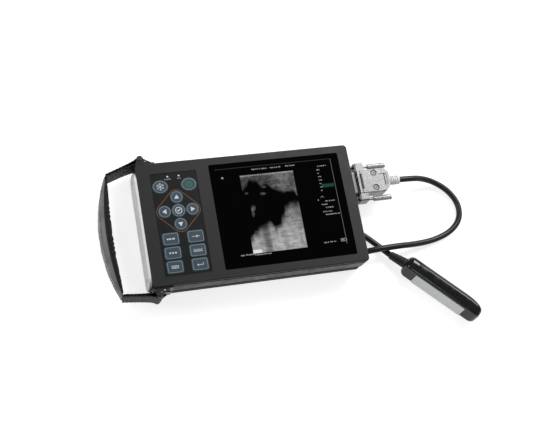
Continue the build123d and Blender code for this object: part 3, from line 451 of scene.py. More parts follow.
# Painted highlight: a pale ring just inside the edge of each key top.
rim_highlight_ring = painted("key rim line", (0.15, 0.20, 0.225), 0.4)
white_ink = painted("white print", (0.52, 0.54, 0.58))
label_ink = painted("label print", (0.20, 0.21, 0.22))
green_ink = painted("green print", (0.028, 0.17, 0.085))
screen_white = shining("screen white", (0.27, 0.27, 0.275))
screen_green = shining("screen green", (0.004, 0.055, 0.027))
contact_metal = brushed("contact shell", (0.13, 0.13, 0.13), 0.4, (1, 1, 30))
jack_black = moulded("charging socket", 0.012, 0.35)
# The plug hood carries painted shade over its slots and a painted shadow round its screw holes.
hood_metal = cast_metal("plug hood", 0.25, slots=HOOD_SLOT_SHADES, holes=HOOD_HOLE_SHADES)
knob_metal = cast_metal("thumbscrew", 0.42)
insert_black = moulded("contact block", 0.012, 0.45)
gold = brushed("contact gold", (0.75, 0.48, 0.16), 0.25, (20, 1, 1))
relief_white = moulded("white strain relief", 0.62, 0.45, grain=0.6)
lug_black = moulded("black lug", 0.014, 0.32, grain=0.8, depth=0.03)
webbing_yarn = woven("webbing yarn", 0.007)
grip_cloth = leathercloth("grip cloth", 0.105)
grip_lining = rubber("grip lining", 0.005, 0.8)
thread = woven("grip thread", 0.075)
cable_jacket = jacket("cable jacket")
probe_black = gloss_plastic("probe plastic", 0.0045)
boot_rubber = rubber("boot rubber", 0.010, 0.5)
lens_grey = lens_silicone("probe lens")
ceramic = moulded("ceramic", 0.35, 0.5, tint=(1, 0.92, 0.75))
resin = moulded("backing resin", 0.06, 0.6)

KEY_NAMES = [name for name in sorted(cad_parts) if name.startswith("key_")]
CAD_FINISHES = (
    (case, ("front_shell", "rear_shell")),
    (seal_rubber, ("shell_gasket",)),
    (silver, ("side_plate",)),
    (screw_steel, ("side_plate_screws", "battery_cover_screws", "shell_screws")),
    (black_rubber, ("skid_rail_front", "skid_rail_back")),
    (cover, ("battery_cover",)),
    (glass, ("lcd_window",)),
    (lcd_frame, ("lcd_module",)),
    (plated, ("lcd_bracket",)),
    (zinc_screw, ("hood_screws",)),
    (dark_steel, ("socket_jackposts", "lug_screws", "strap_pins")),
    (board, ("main_board", "keypad_board")),
    (battery, ("battery_pack",)),
    (panel, ("keypad_overlay",)),
    (orange, ("keypad_outline",)),
    (indicator, ("indicator_lenses",)),
    (mat, ("keypad_mat",)),
    (key_slate, [name for name in KEY_NAMES if name != "key_power"]),
    (key_teal, ("key_power",)),
    (contact_metal, ("probe_socket", "plug_shell")),
    (jack_black, ("dc_jack",)),
    (hood_metal, ("plug_hood_upper", "plug_hood_lower")),
    (knob_metal, ("thumbscrew_upper", "thumbscrew_lower")),
    (insert_black, ("plug_insert",)),
    (gold, ("plug_pins",)),
    (relief_white, ("plug_strain_relief",)),
    (lug_black, ("strap_lug_upper", "strap_lug_lower")),
    (webbing_yarn, ("webbing_upper", "webbing_lower")),
    (grip_cloth, ("strap_grip",)),
    (probe_black, ("probe_shell_lens_side", "probe_shell_back")),
    (lens_grey, ("probe_lens",)),
    (ceramic, ("transducer_array",)),
    (resin, ("backing_block",)),
    (cable_jacket, ("probe_cable",)),
    (boot_rubber, ("probe_boot",)),
)
for finish, names in CAD_FINISHES:
    for name in names:
        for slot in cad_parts[name].material_slots:
            slot.material = finish.material


# ---- building pieces ----
def mesh_of(name, bm):
    mesh = bpy.data.meshes.new(name)
    bm.to_mesh(mesh)
    bm.free()
    return mesh


def add_piece(name, data, body, slot, *finishes, smooth=False):
    """A new piece from a mesh, a bmesh or a curve, riding on a body."""
    if isinstance(data, bmesh.types.BMesh):
        bmesh.ops.recalc_face_normals(data, faces=data.faces)
        data = mesh_of(name, data)
    for finish in finishes:
        data.materials.append(finish.material)
    if smooth:
        data.polygons.foreach_set("use_smooth", [True] * len(data.polygons))
    piece = new_object(name, data)
    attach(piece, body)
    return piece


def ellipse(x, y, half_w, half_h, points=48):
    turns = (2 * math.pi * i / points for i in range(points))
    return [(x + half_w * math.cos(a), y + half_h * math.sin(a)) for a in turns]


def rounded(x, y, half_w, half_h, radius, points=12):
    """A rectangle with rounded corners."""
    outline = []
    for quarter, (side_x, side_y) in enumerate(((1, 1), (-1, 1), (-1, -1), (1, -1))):
        for i in range(points):
            a = (quarter + i / (points - 1)) * math.pi / 2
            outline.append((x + side_x * (half_w - radius) + radius * math.cos(a),
                            y + side_y * (half_h - radius) + radius * math.sin(a)))
    return outline


def add_plate(bm, outline, low, high, material=0, hole=None):
    """A flat plate between two heights, solid or with a hole of as many points."""
    def ring(points, z):
        return [bm.verts.new(place(x, y, z)) for x, y in points]

    lower, upper = ring(outline, low), ring(outline, high)
    faces = []
    sides = [(lower, upper)]
    if hole:
        hole_lower, hole_upper = ring(hole, low), ring(hole, high)
        sides += [(hole_upper, hole_lower), (upper, hole_upper), (hole_lower, lower)]
    else:
        faces += [bm.faces.new(upper), bm.faces.new(lower[::-1])]
    for first, second in sides:
        for i, j in zip(range(-1, len(first) - 1), range(len(first))):
            faces.append(bm.faces.new((first[i], first[j], second[j], second[i])))
    for face in faces:
        face.material_index = material


def add_mark(bm, surface, outline, hole=None):
    """A printed mark on a level surface at that height."""
    add_plate(bm, outline, surface - SUNK, surface + INK, hole=hole)


def bar(x, y, width, height):
    """Corners of a small upright rectangle about its middle."""
    return [(x - width / 2, y - height / 2), (x + width / 2, y - height / 2),
            (x + width / 2, y + height / 2), (x - width / 2, y + height / 2)]


def turned(outline, x, y, degrees):
    """An outline drawn about the origin, turned and then moved to x, y."""
    c, s = math.cos(math.radians(degrees)), math.sin(math.radians(degrees))
    return [(x + u * c - v * s, y + u * s + v * c) for u, v in outline]


# ---- keypad print ----
HALO_IN, HALO_OUT = 0.2, 0.5          # ring on the panel, out from the edge of the key
# The ring on each key is a painted highlight along its edge.
RIM_OUT, RIM_IN = -0.5, -1.0          # ring on the key, in from its edge
ARROW = [(-2.3, -1.6), (2.3, -1.6), (0.0, 2.3)]
ARROW_TURNS = {"key_up": 0, "key_left": 90, "key_down": 180, "key_right": 270}
TICK = [(-1.9, 0.1), (-1.3, 0.7), (-0.5, -0.1), (1.4, 1.7), (2.0, 1.1), (-0.5, -1.4)]
FLAKE_TIP = [(-1.1, 3.3), (0, 2.3), (1.1, 3.3), (1.1, 2.8), (0, 1.8), (-1.1, 2.8)]
POWER_GAP = 70                        # opening in the power sign's ring, in degrees
LABEL_Y, LABEL_H, LABEL_GAP = 41.9, 1.1, 0.4
LABELS = ((-75.2, (0.7, 1.0, 0.8, 1.1, 0.7)), (-64.5, (0.9, 0.6, 1.0)))     # middle, widths of blocks


def key_shape(name):
    """Middle and half sizes of a key's top, in millimetres from the middle of the case."""
    low, high = (Vector(corner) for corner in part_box(name))
    middle, half = ((low + high) / 2 - CASE) / MM, (high - low) / 2 / MM
    return middle.x, middle.y, half.x - KEY_FLANGE, half.y - KEY_FLANGE


def key_outline(name, grow):
    x, y, half_w, half_h = key_shape(name)
    if "function" in name:
        return rounded(x, y, half_w + grow, half_h + grow, 2.0 + grow)
    return ellipse(x, y, half_w + grow, half_h + grow)


def legend(bm, x, y, name):
    """The sign on one key: an arrow, a plain symbol, or a row of small signs with no words."""
    def plate(outline, hole=None):
        add_mark(bm, KEY_TOP, outline, hole)

    if name in ARROW_TURNS:
        plate(turned(ARROW, x, y, ARROW_TURNS[name]))
    elif name == "key_ok":
        plate(ellipse(x, y, 3.3, 3.3), hole=ellipse(x, y, 2.6, 2.6))
        plate(turned(TICK, x, y, 0))
    elif name == "key_freeze":
        for degrees in (0, 60, 120):
            plate(turned(bar(0, 0, 0.5, 7.4), x, y, degrees))
        for degrees in range(0, 360, 60):
            plate(turned(FLAKE_TIP, x, y, degrees))
    elif name == "key_power":
        arc = [math.radians(90 + POWER_GAP / 2 + i * (360 - POWER_GAP) / 28) for i in range(29)]
        outer = [(x + 2.6 * math.cos(a), y + 2.6 * math.sin(a)) for a in arc]
        inner = [(x + 2.0 * math.cos(a), y + 2.0 * math.sin(a)) for a in arc]
        plate(outer + inner[::-1])
        plate(bar(x, y + 1.7, 0.6, 2.4))
    else:
        function_sign(plate, x, y, int(name[-1]))


def function_sign(plate, x, y, number):
    """Six wide, low signs: dashes, a slider, dots, a ruler, a box with a line, and a return arrow."""
    if number == 1:
        for step, width in ((-3.2, 1.2), (-0.9, 2.2), (2.3, 2.6)):
            plate(bar(x + step, y, width, 1.3))
    elif number == 2:
        plate(bar(x, y, 7.4, 0.45))
        plate(bar(x + 1.2, y, 1.3, 2.1))
    elif number == 3:
        for step in (-2.6, 0.0, 2.6):
            plate(ellipse(x + step, y, 0.85, 0.85, 16))
    elif number == 4:
        plate(bar(x, y - 1.0, 8.2, 0.45))
        for tick in range(9):
            up, tall = (0.15, 1.4) if tick % 2 else (0.45, 2.0)
            plate(bar(x - 3.8 + tick * 0.95, y + up, 0.35, tall))
    elif number == 5:
        plate(rounded(x, y, 3.3, 1.3, 0.5), hole=rounded(x, y, 2.8, 0.8, 0.3))
        plate(bar(x, y, 3.6, 0.5))
    else:
        plate(bar(x + 0.6, y - 0.5, 5.0, 0.5))
        plate(bar(x + 2.9, y + 0.3, 0.5, 1.6))
        plate([(x - 3.1, y - 0.5), (x - 1.6, y + 0.6), (x - 1.6, y - 1.6)])


def print_keypad():
    """Signs and painted highlight rings that ride on the keys, and the teal line round each key on the panel.
    """
    rings = bmesh.new()
    for name in KEY_NAMES:
        add_mark(rings, PAD_TOP, key_outline(name, HALO_OUT), hole=key_outline(name, HALO_IN))
        signs = bmesh.new()
        legend(signs, *key_shape(name)[:2], name)
        # A pale ring just inside the key's edge is a painted highlight; it goes into the key's sign piece.
        add_plate(signs, key_outline(name, RIM_OUT), KEY_TOP - SUNK, KEY_TOP + INK / 2, material=1,
                  hole=key_outline(name, RIM_IN))
        ink = green_ink if name == "key_power" else white_ink
        add_piece(name + "_sign", signs, name, "key_slate", ink, rim_highlight_ring)
    add_piece("keypad_halos", rings, "scanner", "keypad_dark", halo)
    labels = bmesh.new()
    for middle, widths in LABELS:
        at = middle - (sum(widths) + LABEL_GAP * len(widths)) / 2
        for width in widths:
            add_mark(labels, PAD_TOP, bar(at + width / 2, LABEL_Y, width, LABEL_H))
            at += width + LABEL_GAP
    add_piece("indicator_labels", labels, "scanner", "keypad_dark", label_ink)


print_keypad()


# ---- what the display shows beside the scan ----
SCREEN_ROWS = (                       # where each row of blocks starts, its middle, and its width
    (5.5, 43.0, 15.0), (23.5, 43.0, 10.5), (39.0, 43.2, 10.0), (70.5, 39.8, 8.6), (64.6, 5.5, 1.2),
    (71.8, 4.0, 9.0), (67.6, 0.8, 5.5), (71.2, -2.5, 8.0), (67.7, -6.4, 9.5), (69.6, -9.4, 13.3),
    (62.6, -36.6, 4.6), (68.6, -36.6, 5.6), (-19.0, -39.4, 12.5), (-5.6, -40.4, 16.0),
)
ROW_H = 1.25
CHEVRON = [(-1.8, -1.0), (-1.3, -1.0), (0, 0.5), (1.3, -1.0), (1.8, -1.0), (0, 1.1)]
BATTERY_X, BATTERY_Y = 82.2, -35.9    # middle of the battery sign


def greeked(bm, x, y, width):
    """A row of little blocks in place of words, starting at x and centred on y."""
    end = x + width
    while x < end - 0.4:
        block = random_source.uniform(0.5, 1.5)
        tall = ROW_H * random_source.uniform(0.55, 1.0)
        middle = y + random_source.uniform(-0.15, 0.15)
        add_mark(bm, GLASS_TOP, bar(x + block / 2, middle, block, tall))
        x += block + random_source.choice((0.25, 0.3, 0.35, 0.9))


def show_marks():
    marks = bmesh.new()
    for x, y, width in SCREEN_ROWS:
        greeked(marks, x, y, width)
    for row in range(7):
        greeked(marks, 69.2 + 0.1 * row, 36.0 - 3.5 * row, 2.4)
    for outline, hole in (
        (ellipse(-23.9, 37.3, 1.1, 1.1, 20), None),
        (turned(CHEVRON, 69.6, 8.6, 0), None),
        (rounded(BATTERY_X, BATTERY_Y, 2.8, 1.5, 0.4), rounded(BATTERY_X, BATTERY_Y, 2.3, 1.0, 0.2)),
        (bar(BATTERY_X - 0.6, BATTERY_Y, 2.6, 1.2), None),
        (bar(BATTERY_X + 3.0, BATTERY_Y, 0.5, 1.2), None),
    ):
        add_mark(marks, GLASS_TOP, outline, hole)
    add_piece("display_marks", marks, "scanner", "display_gloss", screen_white)
    selected = bmesh.new()
    add_plate(selected, bar(77.4, 19.5, 12.4, 3.3), GLASS_TOP - 2 * SUNK, GLASS_TOP + INK / 2)
    add_piece("display_selection", selected, "scanner", "display_gloss", screen_green)


random_source = random.Random(5)
show_marks()


# ---- probe cable ----
CABLE_D = 0.006
ROUTE = [                             # metres, from the middle of the case
    (0.1575, 0.02305, 0.018), (0.1715, 0.02305, 0.018), (0.1865, 0.0236, 0.0112), (0.202, 0.02, 0.0046),
    (0.215, 0.01, 0.0032), (0.2226, -0.005, 0.0031), (0.2204, -0.021, 0.0031), (0.2075, -0.0328, 0.0032),
    (0.1875, -0.0396, 0.0036), (0.165, -0.0422, 0.0072), (0.144, -0.0429, 0.0122), (0.12, -0.0438, 0.0122),
    (0.1005, -0.0443, 0.0044), (0.078, -0.0446, 0.0034), (0.042, -0.0458, 0.0032), (-0.008, -0.0467, 0.0032),
    (-0.064, -0.0462, 0.0032), (-0.093, -0.0195, 0.0032), (-0.0935, 0.0185, 0.0032), (-0.068, 0.0456, 0.0032),
    (-0.012, 0.045, 0.0032), (0.036, 0.0462, 0.0032), (0.068, 0.0458, 0.0032), (0.081, 0.033, 0.0032),
    (0.081, 0.015, 0.0032), (0.0685, 0.0024, 0.0032), (0.04, 0.002, 0.0032), (-0.01, 0.004, 0.0032),
    (-0.044, 0.0038, 0.0032), (-0.057, -0.0092, 0.0032), (-0.057, -0.0266, 0.0032), (-0.0443, -0.039, 0.0032),
    (-0.014, -0.0382, 0.0032), (0.026, -0.0386, 0.0032), (0.056, -0.033, 0.0032), (0.079, -0.0205, 0.0032),
    (0.097, -0.0155, 0.0032), (0.1135, -0.0245, 0.0032), (0.127, -0.038, 0.0036), (0.1366, -0.0494, 0.006),
]


def add_cable():
    curve = bpy.data.curves.new("probe_cable_line", "CURVE")
    curve.dimensions = "3D"
    curve.bevel_depth, curve.bevel_resolution, curve.resolution_u = CABLE_D / 2, 5, 10
    curve.use_fill_caps = True
    spline = curve.splines.new("NURBS")
    spline.points.add(len(ROUTE) - 1)
    for point, stop in zip(spline.points, ROUTE):
        point.co = (*(CASE + Vector(stop)), 1)
    spline.order_u = 3
    spline.use_endpoint_u = True
    cable = add_piece("probe_cable_flex", curve, "probe_lead", "cable_black", cable_jacket)
    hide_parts("probe_cable")


add_cable()


# ---- skins over rings of points ----
def skin(rings, materials=None, bm=None):
    """A closed skin over rings of as many points each. materials holds an index for each point."""
    bm = bm or bmesh.new()
    rows = [[bm.verts.new(point) for point in ring] for ring in rings]
    for first, second in zip(rows, rows[1:]):
        for i, j in zip(range(-1, len(first) - 1), range(len(first))):
            face = bm.faces.new((first[i], first[j], second[j], second[i]))
            face.material_index = materials[j] if materials else 0
    bm.faces.new(rows[0][::-1])
    bm.faces.new(rows[-1])
    return bm


def frames_along(path):
    """For each point of a nearly level path: the point, the way to its left, and the way up from it."""
    for i, point in enumerate(path):
        ahead = (path[min(i + 1, len(path) - 1)] - path[max(i - 1, 0)]).normalized()
        left = Vector((0, 0, 1)).cross(ahead).normalized()
        yield point, left, ahead.cross(left)


def tube_rings(path, radius_at, sides):
    rings = []
    turns = [2 * math.pi * k / sides for k in range(sides)]
    for i, (point, left, up) in enumerate(frames_along(path)):
        radius = radius_at(i / (len(path) - 1))
        rings.append([point + (left * math.cos(a) + up * math.sin(a)) * radius for a in turns])
    return rings


def smooth_path(points, step):
    """Points about a step apart on a smooth line through the given ones."""
    path = []
    padded = [points[0] * 2 - points[1], *points, points[-1] * 2 - points[-2]]
    for a, b, c, d in zip(padded, padded[1:], padded[2:], padded[3:]):
        count = max(1, round((c - b).length / step))
        for t in (k / count for k in range(count)):
            path.append(0.5 * (2 * b + (c - a) * t + (2 * a - 5 * b + 4 * c - d) * t ** 2
                               + (3 * b - a - 3 * c + d) * t ** 3))
    return path + [points[-1]]


def arc_through(start, middle, end, count):
    """Points along the arc through three points, in plan."""
    a, b = middle - start, end - middle
    normal_a, normal_b = Vector((-a.y, a.x)), Vector((-b.y, b.x))
    gap = (end - start) / 2
    along = (gap.x * normal_b.y - gap.y * normal_b.x) / (normal_a.x * normal_b.y - normal_a.y * normal_b.x)
    centre = (start + middle) / 2 + normal_a * along
    first, last = (math.atan2(p.y - centre.y, p.x - centre.x) for p in (start, end))
    last += 2 * math.pi * round((first - last) / (2 * math.pi))
    radius = (start - centre).length
    turns = [first + (last - first) * i / (count - 1) for i in range(count)]
    return [centre + Vector((math.cos(t), math.sin(t))) * radius for t in turns]


# ---- hand grip ----
STRAP_TOP, STRAP_MID, STRAP_BOTTOM = Vector((-131.2, 53.2)), Vector((-141.0, 9.0)), Vector((-130.8, -61.5))
GRIP_T, GRIP_HALF_W, GRIP_HALF_END, GRIP_EDGE, GRIP_PLUMP = 6.0, 14.0, 8.0, 1.2, 1.0
STRAP_Z = 19.5
GRIP_ROWS, GRIP_SIDES = 240, 56
LINED = -0.05                         # cosine of the turn at which the black lining starts
OUT_POWER, IN_POWER, EDGE_POWER = 0.85, 0.45, 0.75      # how square the section is on each side
SEWN_IN, GROOVE_W, GROOVE_DEPTH, PUCKER = 3.4, 0.55, 0.45, 0.28
STITCH_PITCH, STITCH_L = 6, 4         # in rows


def grip_sections():
    """Along the grip: middle, way out from the case, half thickness and half width, in millimetres."""
    outer = arc_through(STRAP_TOP, STRAP_MID, STRAP_BOTTOM, GRIP_ROWS)
    inner = arc_through(STRAP_TOP, STRAP_MID + Vector((GRIP_T, 0)), STRAP_BOTTOM, GRIP_ROWS)
    sections = []
    for i, (far, near) in enumerate(zip(outer, inner)):
        middle = (far + near) / 2
        ahead = (outer[min(i + 1, GRIP_ROWS - 1)] - outer[max(i - 1, 0)]).normalized()
        out = Vector((ahead.y, -ahead.x))
        share = 2 * i / (GRIP_ROWS - 1) - 1
        half_w = GRIP_HALF_W - (GRIP_HALF_W - GRIP_HALF_END) * share ** 2
        half_t = (far - near).length / 2 + GRIP_EDGE + GRIP_PLUMP * (1 - share ** 2)
        sections.append((middle, out, half_t, half_w))
    return sections


def grip_point(section, out, up):
    middle, direction, _, _ = section
    at = middle + direction * out
    return place(at.x, at.y, STRAP_Z + up)


def add_grip():
    sections = grip_sections()
    rings = []
    for row, section in enumerate(sections):
        _, _, half_t, half_w = section
        ring = []
        end = min(row, GRIP_ROWS - 1 - row)
        for k in range(GRIP_SIDES):
            turn = 2 * math.pi * k / GRIP_SIDES
            c, s = math.cos(turn), math.sin(turn)
            out = half_t * math.copysign(abs(c) ** (OUT_POWER if c > 0 else IN_POWER), c)
            up = half_w * math.copysign(abs(s) ** EDGE_POWER, s)
            groove = math.exp(-((abs(up) - half_w + SEWN_IN) / GROOVE_W) ** 2) * GROOVE_DEPTH
            pucker = noise_at(row * 0.5, k) * PUCKER * min(1.0, end / 12)
            swell = (pucker - groove) * min(1.0, c * 2 + 0.1) if c > 0.05 else 0.0
            ring.append(grip_point(section, out + swell, up * 0.996))
        rings.append(ring)
    lined = [int(math.cos(2 * math.pi * (k - 0.5) / GRIP_SIDES) < LINED) for k in range(GRIP_SIDES)]
    grip = add_piece("grip_pad", skin(rings, lined), "scanner", "grip_fabric", grip_cloth, grip_lining,
                     smooth=True)
    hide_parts("strap_grip")
    add_grip_sewing(sections)


def noise_at(row, k):
    """A slow, smooth waviness along the grip and round it."""
    return (math.sin(row * 0.31 + 1.7 * math.sin(k * 0.45)) + 0.6 * math.sin(row * 0.17 + k * 0.8 + 1.0)
            + 0.5 * math.sin(row * 0.83 + k * 0.33)) / 2.1


def stitch_radius(share):
    return (0.12 + 0.16 * math.sin(math.pi * share)) * MM


def add_grip_sewing(sections):
    """Binding rolled over the two inner edges, and a line of stitches beside each outer edge."""
    for side, edge in ((1, "upper"), (-1, "lower")):
        path, widths = [], []
        for section in sections[6:-6]:
            _, _, half_t, half_w = section
            path.append(grip_point(section, -half_t * 0.72, side * (half_w - 1.0)))
            widths.append(min(1.5, half_t * 0.5))
        count = len(path)

        def scallop(share):
            ruffle = abs(math.sin(share * math.pi * 15 + 2 * math.sin(share * 21)))
            ruffle *= 0.75 * math.sin(share * math.pi)
            return (widths[min(count - 1, int(share * count))] + ruffle) * MM

        add_piece(f"grip_binding_{edge}", skin(tube_rings(path, scallop, 14)), "scanner",
                  "webbing_black", grip_lining, smooth=True)
        stitches = bmesh.new()
        for start in range(14, GRIP_ROWS - 16, STITCH_PITCH):
            ends = []
            for section in (sections[start], sections[start + STITCH_L]):
                _, _, half_t, half_w = section
                up = side * (half_w - SEWN_IN)
                share = (abs(up) / half_w) ** (1 / EDGE_POWER)
                out = half_t * math.sqrt(1 - share ** 2) ** OUT_POWER
                ends.append(grip_point(section, out - 0.12, up))
            middle = (ends[0] + ends[1]) / 2 + (ends[0] - place(0, 0, STRAP_Z)).normalized() * 0.18 * MM
            lay = smooth_path([ends[0], middle, ends[1]], 0.3 * MM)
            skin(tube_rings(lay, stitch_radius, 8), bm=stitches)
        add_piece(f"grip_stitches_{edge}", stitches, "scanner", "webbing_black", thread, smooth=True)


add_grip()


# ---- webbing ----
BAR_X, BAR_OUT, BAR_R = -98.0, 6.0, 1.6
WEB_HALF_W, WEB_T, WEB_STEP, WEAVE_PITCH = 12.0, 1.7, 0.4, 3.4
WEB_COLUMNS = 40
RIVET_X, RIVET_OUT = -93.6, 3.0
RIVET_DOME = ((0.95, -0.02), (0.9, 0.2), (0.65, 0.38), (0.3, 0.45))     # radius, height above the ear


def webbing_path(side, grip_end):
    """From inside the grip, round the pin of the lug, and back against itself to the grip."""
    bar_at = place(BAR_X, side * (HALF_H / MM + BAR_OUT), STRAP_Z)
    start = place(grip_end.x + 0.6, grip_end.y, STRAP_Z)
    ahead = (bar_at + Vector((-2.0, side * (BAR_R - 0.2), 0)) * MM - start).normalized()
    out = Vector((0, 0, 1)).cross(ahead) * side * MM
    ahead = ahead * MM
    half, wrap = WEB_T / 2 + 0.05, BAR_R + 0.1 + WEB_T / 2
    line = start.lerp(bar_at, 0.5)
    points = [start + out * half, line + out * (half + 0.1), bar_at - ahead * 7 + out * (half + 0.9)]
    for degrees in range(0, 181, 30):
        a = math.radians(degrees)
        points.append(bar_at + (out * math.cos(a) + ahead * math.sin(a)) * wrap)
    points += [bar_at - ahead * 7 - out * (half + 0.5), line - out * (half + 0.1), start - out * half]
    return smooth_path(points, WEB_STEP * MM)


def add_webbing(side, grip_end, edge):
    rings = []
    across = [-1 + 2 * k / WEB_COLUMNS for k in range(WEB_COLUMNS + 1)]
    for row, (point, left, _) in enumerate(frames_along(webbing_path(side, grip_end))):
        along = row * WEB_STEP
        scallop = 0.3 * math.sin(along * 2 * math.pi / WEAVE_PITCH)
        front, back = [], []
        for share in across:
            up = share * (WEB_HALF_W - 0.3 + scallop)
            chevron = abs((share * 3) % 2 - 1) * 1.2
            ridge = abs(math.sin((along / WEAVE_PITCH + chevron) * math.pi))
            half = (WEB_T / 2 - 0.45 + 0.6 * ridge) * (1 - share ** 10 * 0.5)
            lift = Vector((0, 0, up * MM))
            front.append(point + lift + left * half * MM)
            back.append(point + lift - left * half * MM)
        rings.append(front + back[::-1])
    webbing = add_piece(f"webbing_{edge}_woven", skin(rings), "scanner", "webbing_black", webbing_yarn,
                        smooth=True)
    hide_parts(f"webbing_{edge}")


def add_rivets():
    """A small bright dome on the upper ear of each lug."""
    bm = bmesh.new()
    ear_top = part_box("strap_lug_upper")[1][2] / MM
    for side in (1, -1):
        rings = []
        for radius, height in RIVET_DOME:
            outline = ellipse(RIVET_X, side * (HALF_H / MM + RIVET_OUT), radius, radius, 20)
            rings.append([place(x, y, ear_top + height) for x, y in outline])
        skin(rings, bm=bm)
    add_piece("lug_rivets", bm, "scanner", "screw_steel", bright_steel, smooth=True)


add_webbing(1, STRAP_TOP, "upper")
add_webbing(-1, STRAP_BOTTOM, "lower")
add_rivets()


# ---- probe ----
PROBE_BACK = place(148.3, -61.7, 0)
HEADING = math.radians(-43.3)
PROBE_L, LENS_TILT, PROBE_AXIS_Z = 88.0, math.radians(16.5), 9.4
ALONG = Vector((math.cos(HEADING), math.sin(HEADING), 0))
ACROSS = Vector((-math.sin(HEADING), math.cos(HEADING), 0))
BODY_H, FOOT_LEFT, FOOT_RIGHT, SIDE_RIGHT, SIDE_Z, TOP_RIGHT = 19.6, -9.8, 11.4, 12.4, 8.0, 9.0
SECTION_ROUND = (4.0, 6.0, 7.0, 8.0, 4.5)
# Oval corners at the two ends, each as long and as deep as this
TIP_NEAR, TIP_FAR, BACK_CORNER, SIDE_CORNER = (5.5, 5.0), (20.0, 9.0), (6.0, 6.0), (7.0, 6.0)
SHELL_SEAM, SEAM_GAP = 1.0, 0.12


def probe_place(across, up, along):
    return PROBE_BACK + (ACROSS * across + ALONG * along) * MM + Vector((0, 0, up * MM))


def round_corners(corners, radii, points=10):
    """An outline with each corner rounded to its own radius."""
    outline = []
    neighbours = zip(corners[-1:] + corners, corners, corners[1:] + corners[:1], radii)
    for before, corner, after, radius in neighbours:
        to_before, to_after = (before - corner).normalized(), (after - corner).normalized()
        half = to_before.angle(to_after) / 2
        centre = corner + (to_before + to_after).normalized() * (radius / math.sin(half))
        reach = radius / math.tan(half)
        first, last = corner + to_before * reach - centre, corner + to_after * reach - centre
        start = math.atan2(first.y, first.x)
        turn = (math.atan2(last.y, last.x) - start + math.pi) % (2 * math.pi) - math.pi
        for i in range(points):
            a = start + turn * i / (points - 1)
            outline.append(centre + Vector((math.cos(a), math.sin(a))) * radius)
    return outline


def shrink(depth, corner, half):
    """How much of its half width an end with oval corners still has at a depth from its tip."""
    long, deep = corner
    if depth >= long:
        return 1.0
    return (half - deep + deep * math.sqrt(1 - (1 - depth / long) ** 2)) / half


def probe_rings():
    top_left = FOOT_LEFT + BODY_H * math.tan(LENS_TILT)
    corners = ((FOOT_LEFT, 0), (FOOT_RIGHT, 0), (SIDE_RIGHT, SIDE_Z), (TOP_RIGHT, BODY_H),
               (top_left, BODY_H))
    section = round_corners([Vector(corner) for corner in corners], SECTION_ROUND)
    middle = Vector(((FOOT_LEFT + SIDE_RIGHT) / 2, BODY_H / 2))
    offsets = [point - middle for point in section]
    half_w, half_h = (SIDE_RIGHT - FOOT_LEFT) / 2, BODY_H / 2
    dense = [1 - math.cos(math.pi / 2 * i / 14) for i in range(15)]
    stations = [d * BACK_CORNER[0] for d in dense]
    stations += [PROBE_L * (0.14 + 0.09 * i) for i in range(7)]
    stations += [PROBE_L - d * TIP_FAR[0] for d in reversed(dense)]
    rings = []
    for along in stations:
        tip = along > PROBE_L / 2
        depth = min(along, PROBE_L - along) + 0.05
        near = shrink(depth, TIP_NEAR if tip else BACK_CORNER, half_w)
        far = shrink(depth, TIP_FAR if tip else BACK_CORNER, half_w)
        tall = shrink(depth, SIDE_CORNER, half_h)
        rings.append([probe_place(middle.x + off.x * (near if off.x < 0 else far),
                                  middle.y + off.y * tall, along) for off in offsets])
    return rings


def add_probe_shell(name, node, keep_side):
    """One half of the body, cut at the seam with a hairline gap."""
    bm = skin(probe_rings())
    bmesh.ops.recalc_face_normals(bm, faces=bm.faces)
    seam = probe_place(SHELL_SEAM + keep_side * SEAM_GAP, 0, 0)
    cut = bmesh.ops.bisect_plane(bm, geom=bm.verts[:] + bm.edges[:] + bm.faces[:], plane_co=seam,
                                 plane_no=ACROSS * keep_side, clear_inner=True)
    edges = [e for e in cut["geom_cut"] if isinstance(e, bmesh.types.BMEdge)]
    bmesh.ops.holes_fill(bm, edges=edges)
    shell = add_piece(name, bm, "probe_lead", "probe_gloss", probe_black)
    shell.data.shade_smooth()
    shell.data.set_sharp_from_angle(angle=math.radians(50))
    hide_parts(node)


add_probe_shell("probe_body_front", "probe_shell_lens_side", -1)
add_probe_shell("probe_body_rear", "probe_shell_back", 1)


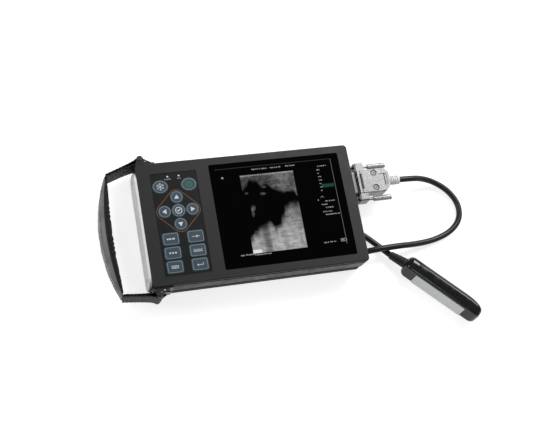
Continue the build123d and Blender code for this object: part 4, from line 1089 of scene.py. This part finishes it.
def add_boot():
    """Ribbed rubber sleeve where the cable enters the probe."""
    tip, base = CASE + Vector(ROUTE[-1]), probe_place(1.3, PROBE_AXIS_Z, 0.6)
    path = [tip.lerp(base, i / 90) for i in range(91)]
    ribs = (base - tip).length / MM / 1.5

    def radius(share):
        rib = 0.22 * math.sin(share * ribs * 2 * math.pi) if 0.1 < share < 0.92 else 0.0
        tip_round = min(1.0, 0.82 + share * 3.0)
        return ((3.8 + 1.5 * share) * tip_round + rib) * MM

    boot = add_piece("probe_boot_ribbed", skin(tube_rings(path, radius, 28)), "probe_lead", "cable_black",
                     boot_rubber, smooth=True)
    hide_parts("probe_boot")


add_boot()


# ---- floor and light ----
PAPER_GREY, PAPER_GLOW = 0.46, 0.76   # white all over in the picture, with soft shadows left in it
FLOOR_HALF, FLOOR_Z = 3.0, -0.0003


def add_floor():
    bm = bmesh.new()
    bmesh.ops.create_grid(bm, x_segments=1, y_segments=1, size=FLOOR_HALF)
    mesh = mesh_of("floor", bm)
    paper = Finish("white paper", [PAPER_GREY] * 3, 0.9, Specular_IOR_Level=0.0)
    paper.shader.inputs["Emission Color"].default_value = (1, 1, 1, 1)
    paper.shader.inputs["Emission Strength"].default_value = PAPER_GLOW
    mesh.materials.append(paper.material)
    floor = new_object("floor", mesh)
    floor.location.z = FLOOR_Z


def add_softbox(name, at, size, power):
    """A square soft light that faces the case."""
    light = bpy.data.lights.new(name, "AREA")
    light.shape, light.size, light.energy = "SQUARE", size, power
    lamp = new_object(name, light)
    lamp.location = CASE + Vector(at)
    lamp.rotation_euler = (-Vector(at)).to_track_quat("-Z", "Y").to_euler()


add_floor()
add_softbox("key light", (0.75, 0.8, 1.05), 0.7, 22)
add_softbox("left light", (-1.3, 0.3, 0.8), 0.9, 11)
add_softbox("front light", (-0.6, -1.15, 1.0), 0.3, 1.5)
add_softbox("right light", (1.2, 0.5, 0.7), 0.35, 3)
world = bpy.data.worlds.new("studio")
world.use_nodes = True
background = world.node_tree.nodes["Background"]
background.inputs["Color"].default_value = (0.96, 0.98, 1.0, 1)
background.inputs["Strength"].default_value = 0.28
bpy.context.scene.world = world
bpy.context.scene.view_settings.view_transform = "Standard"
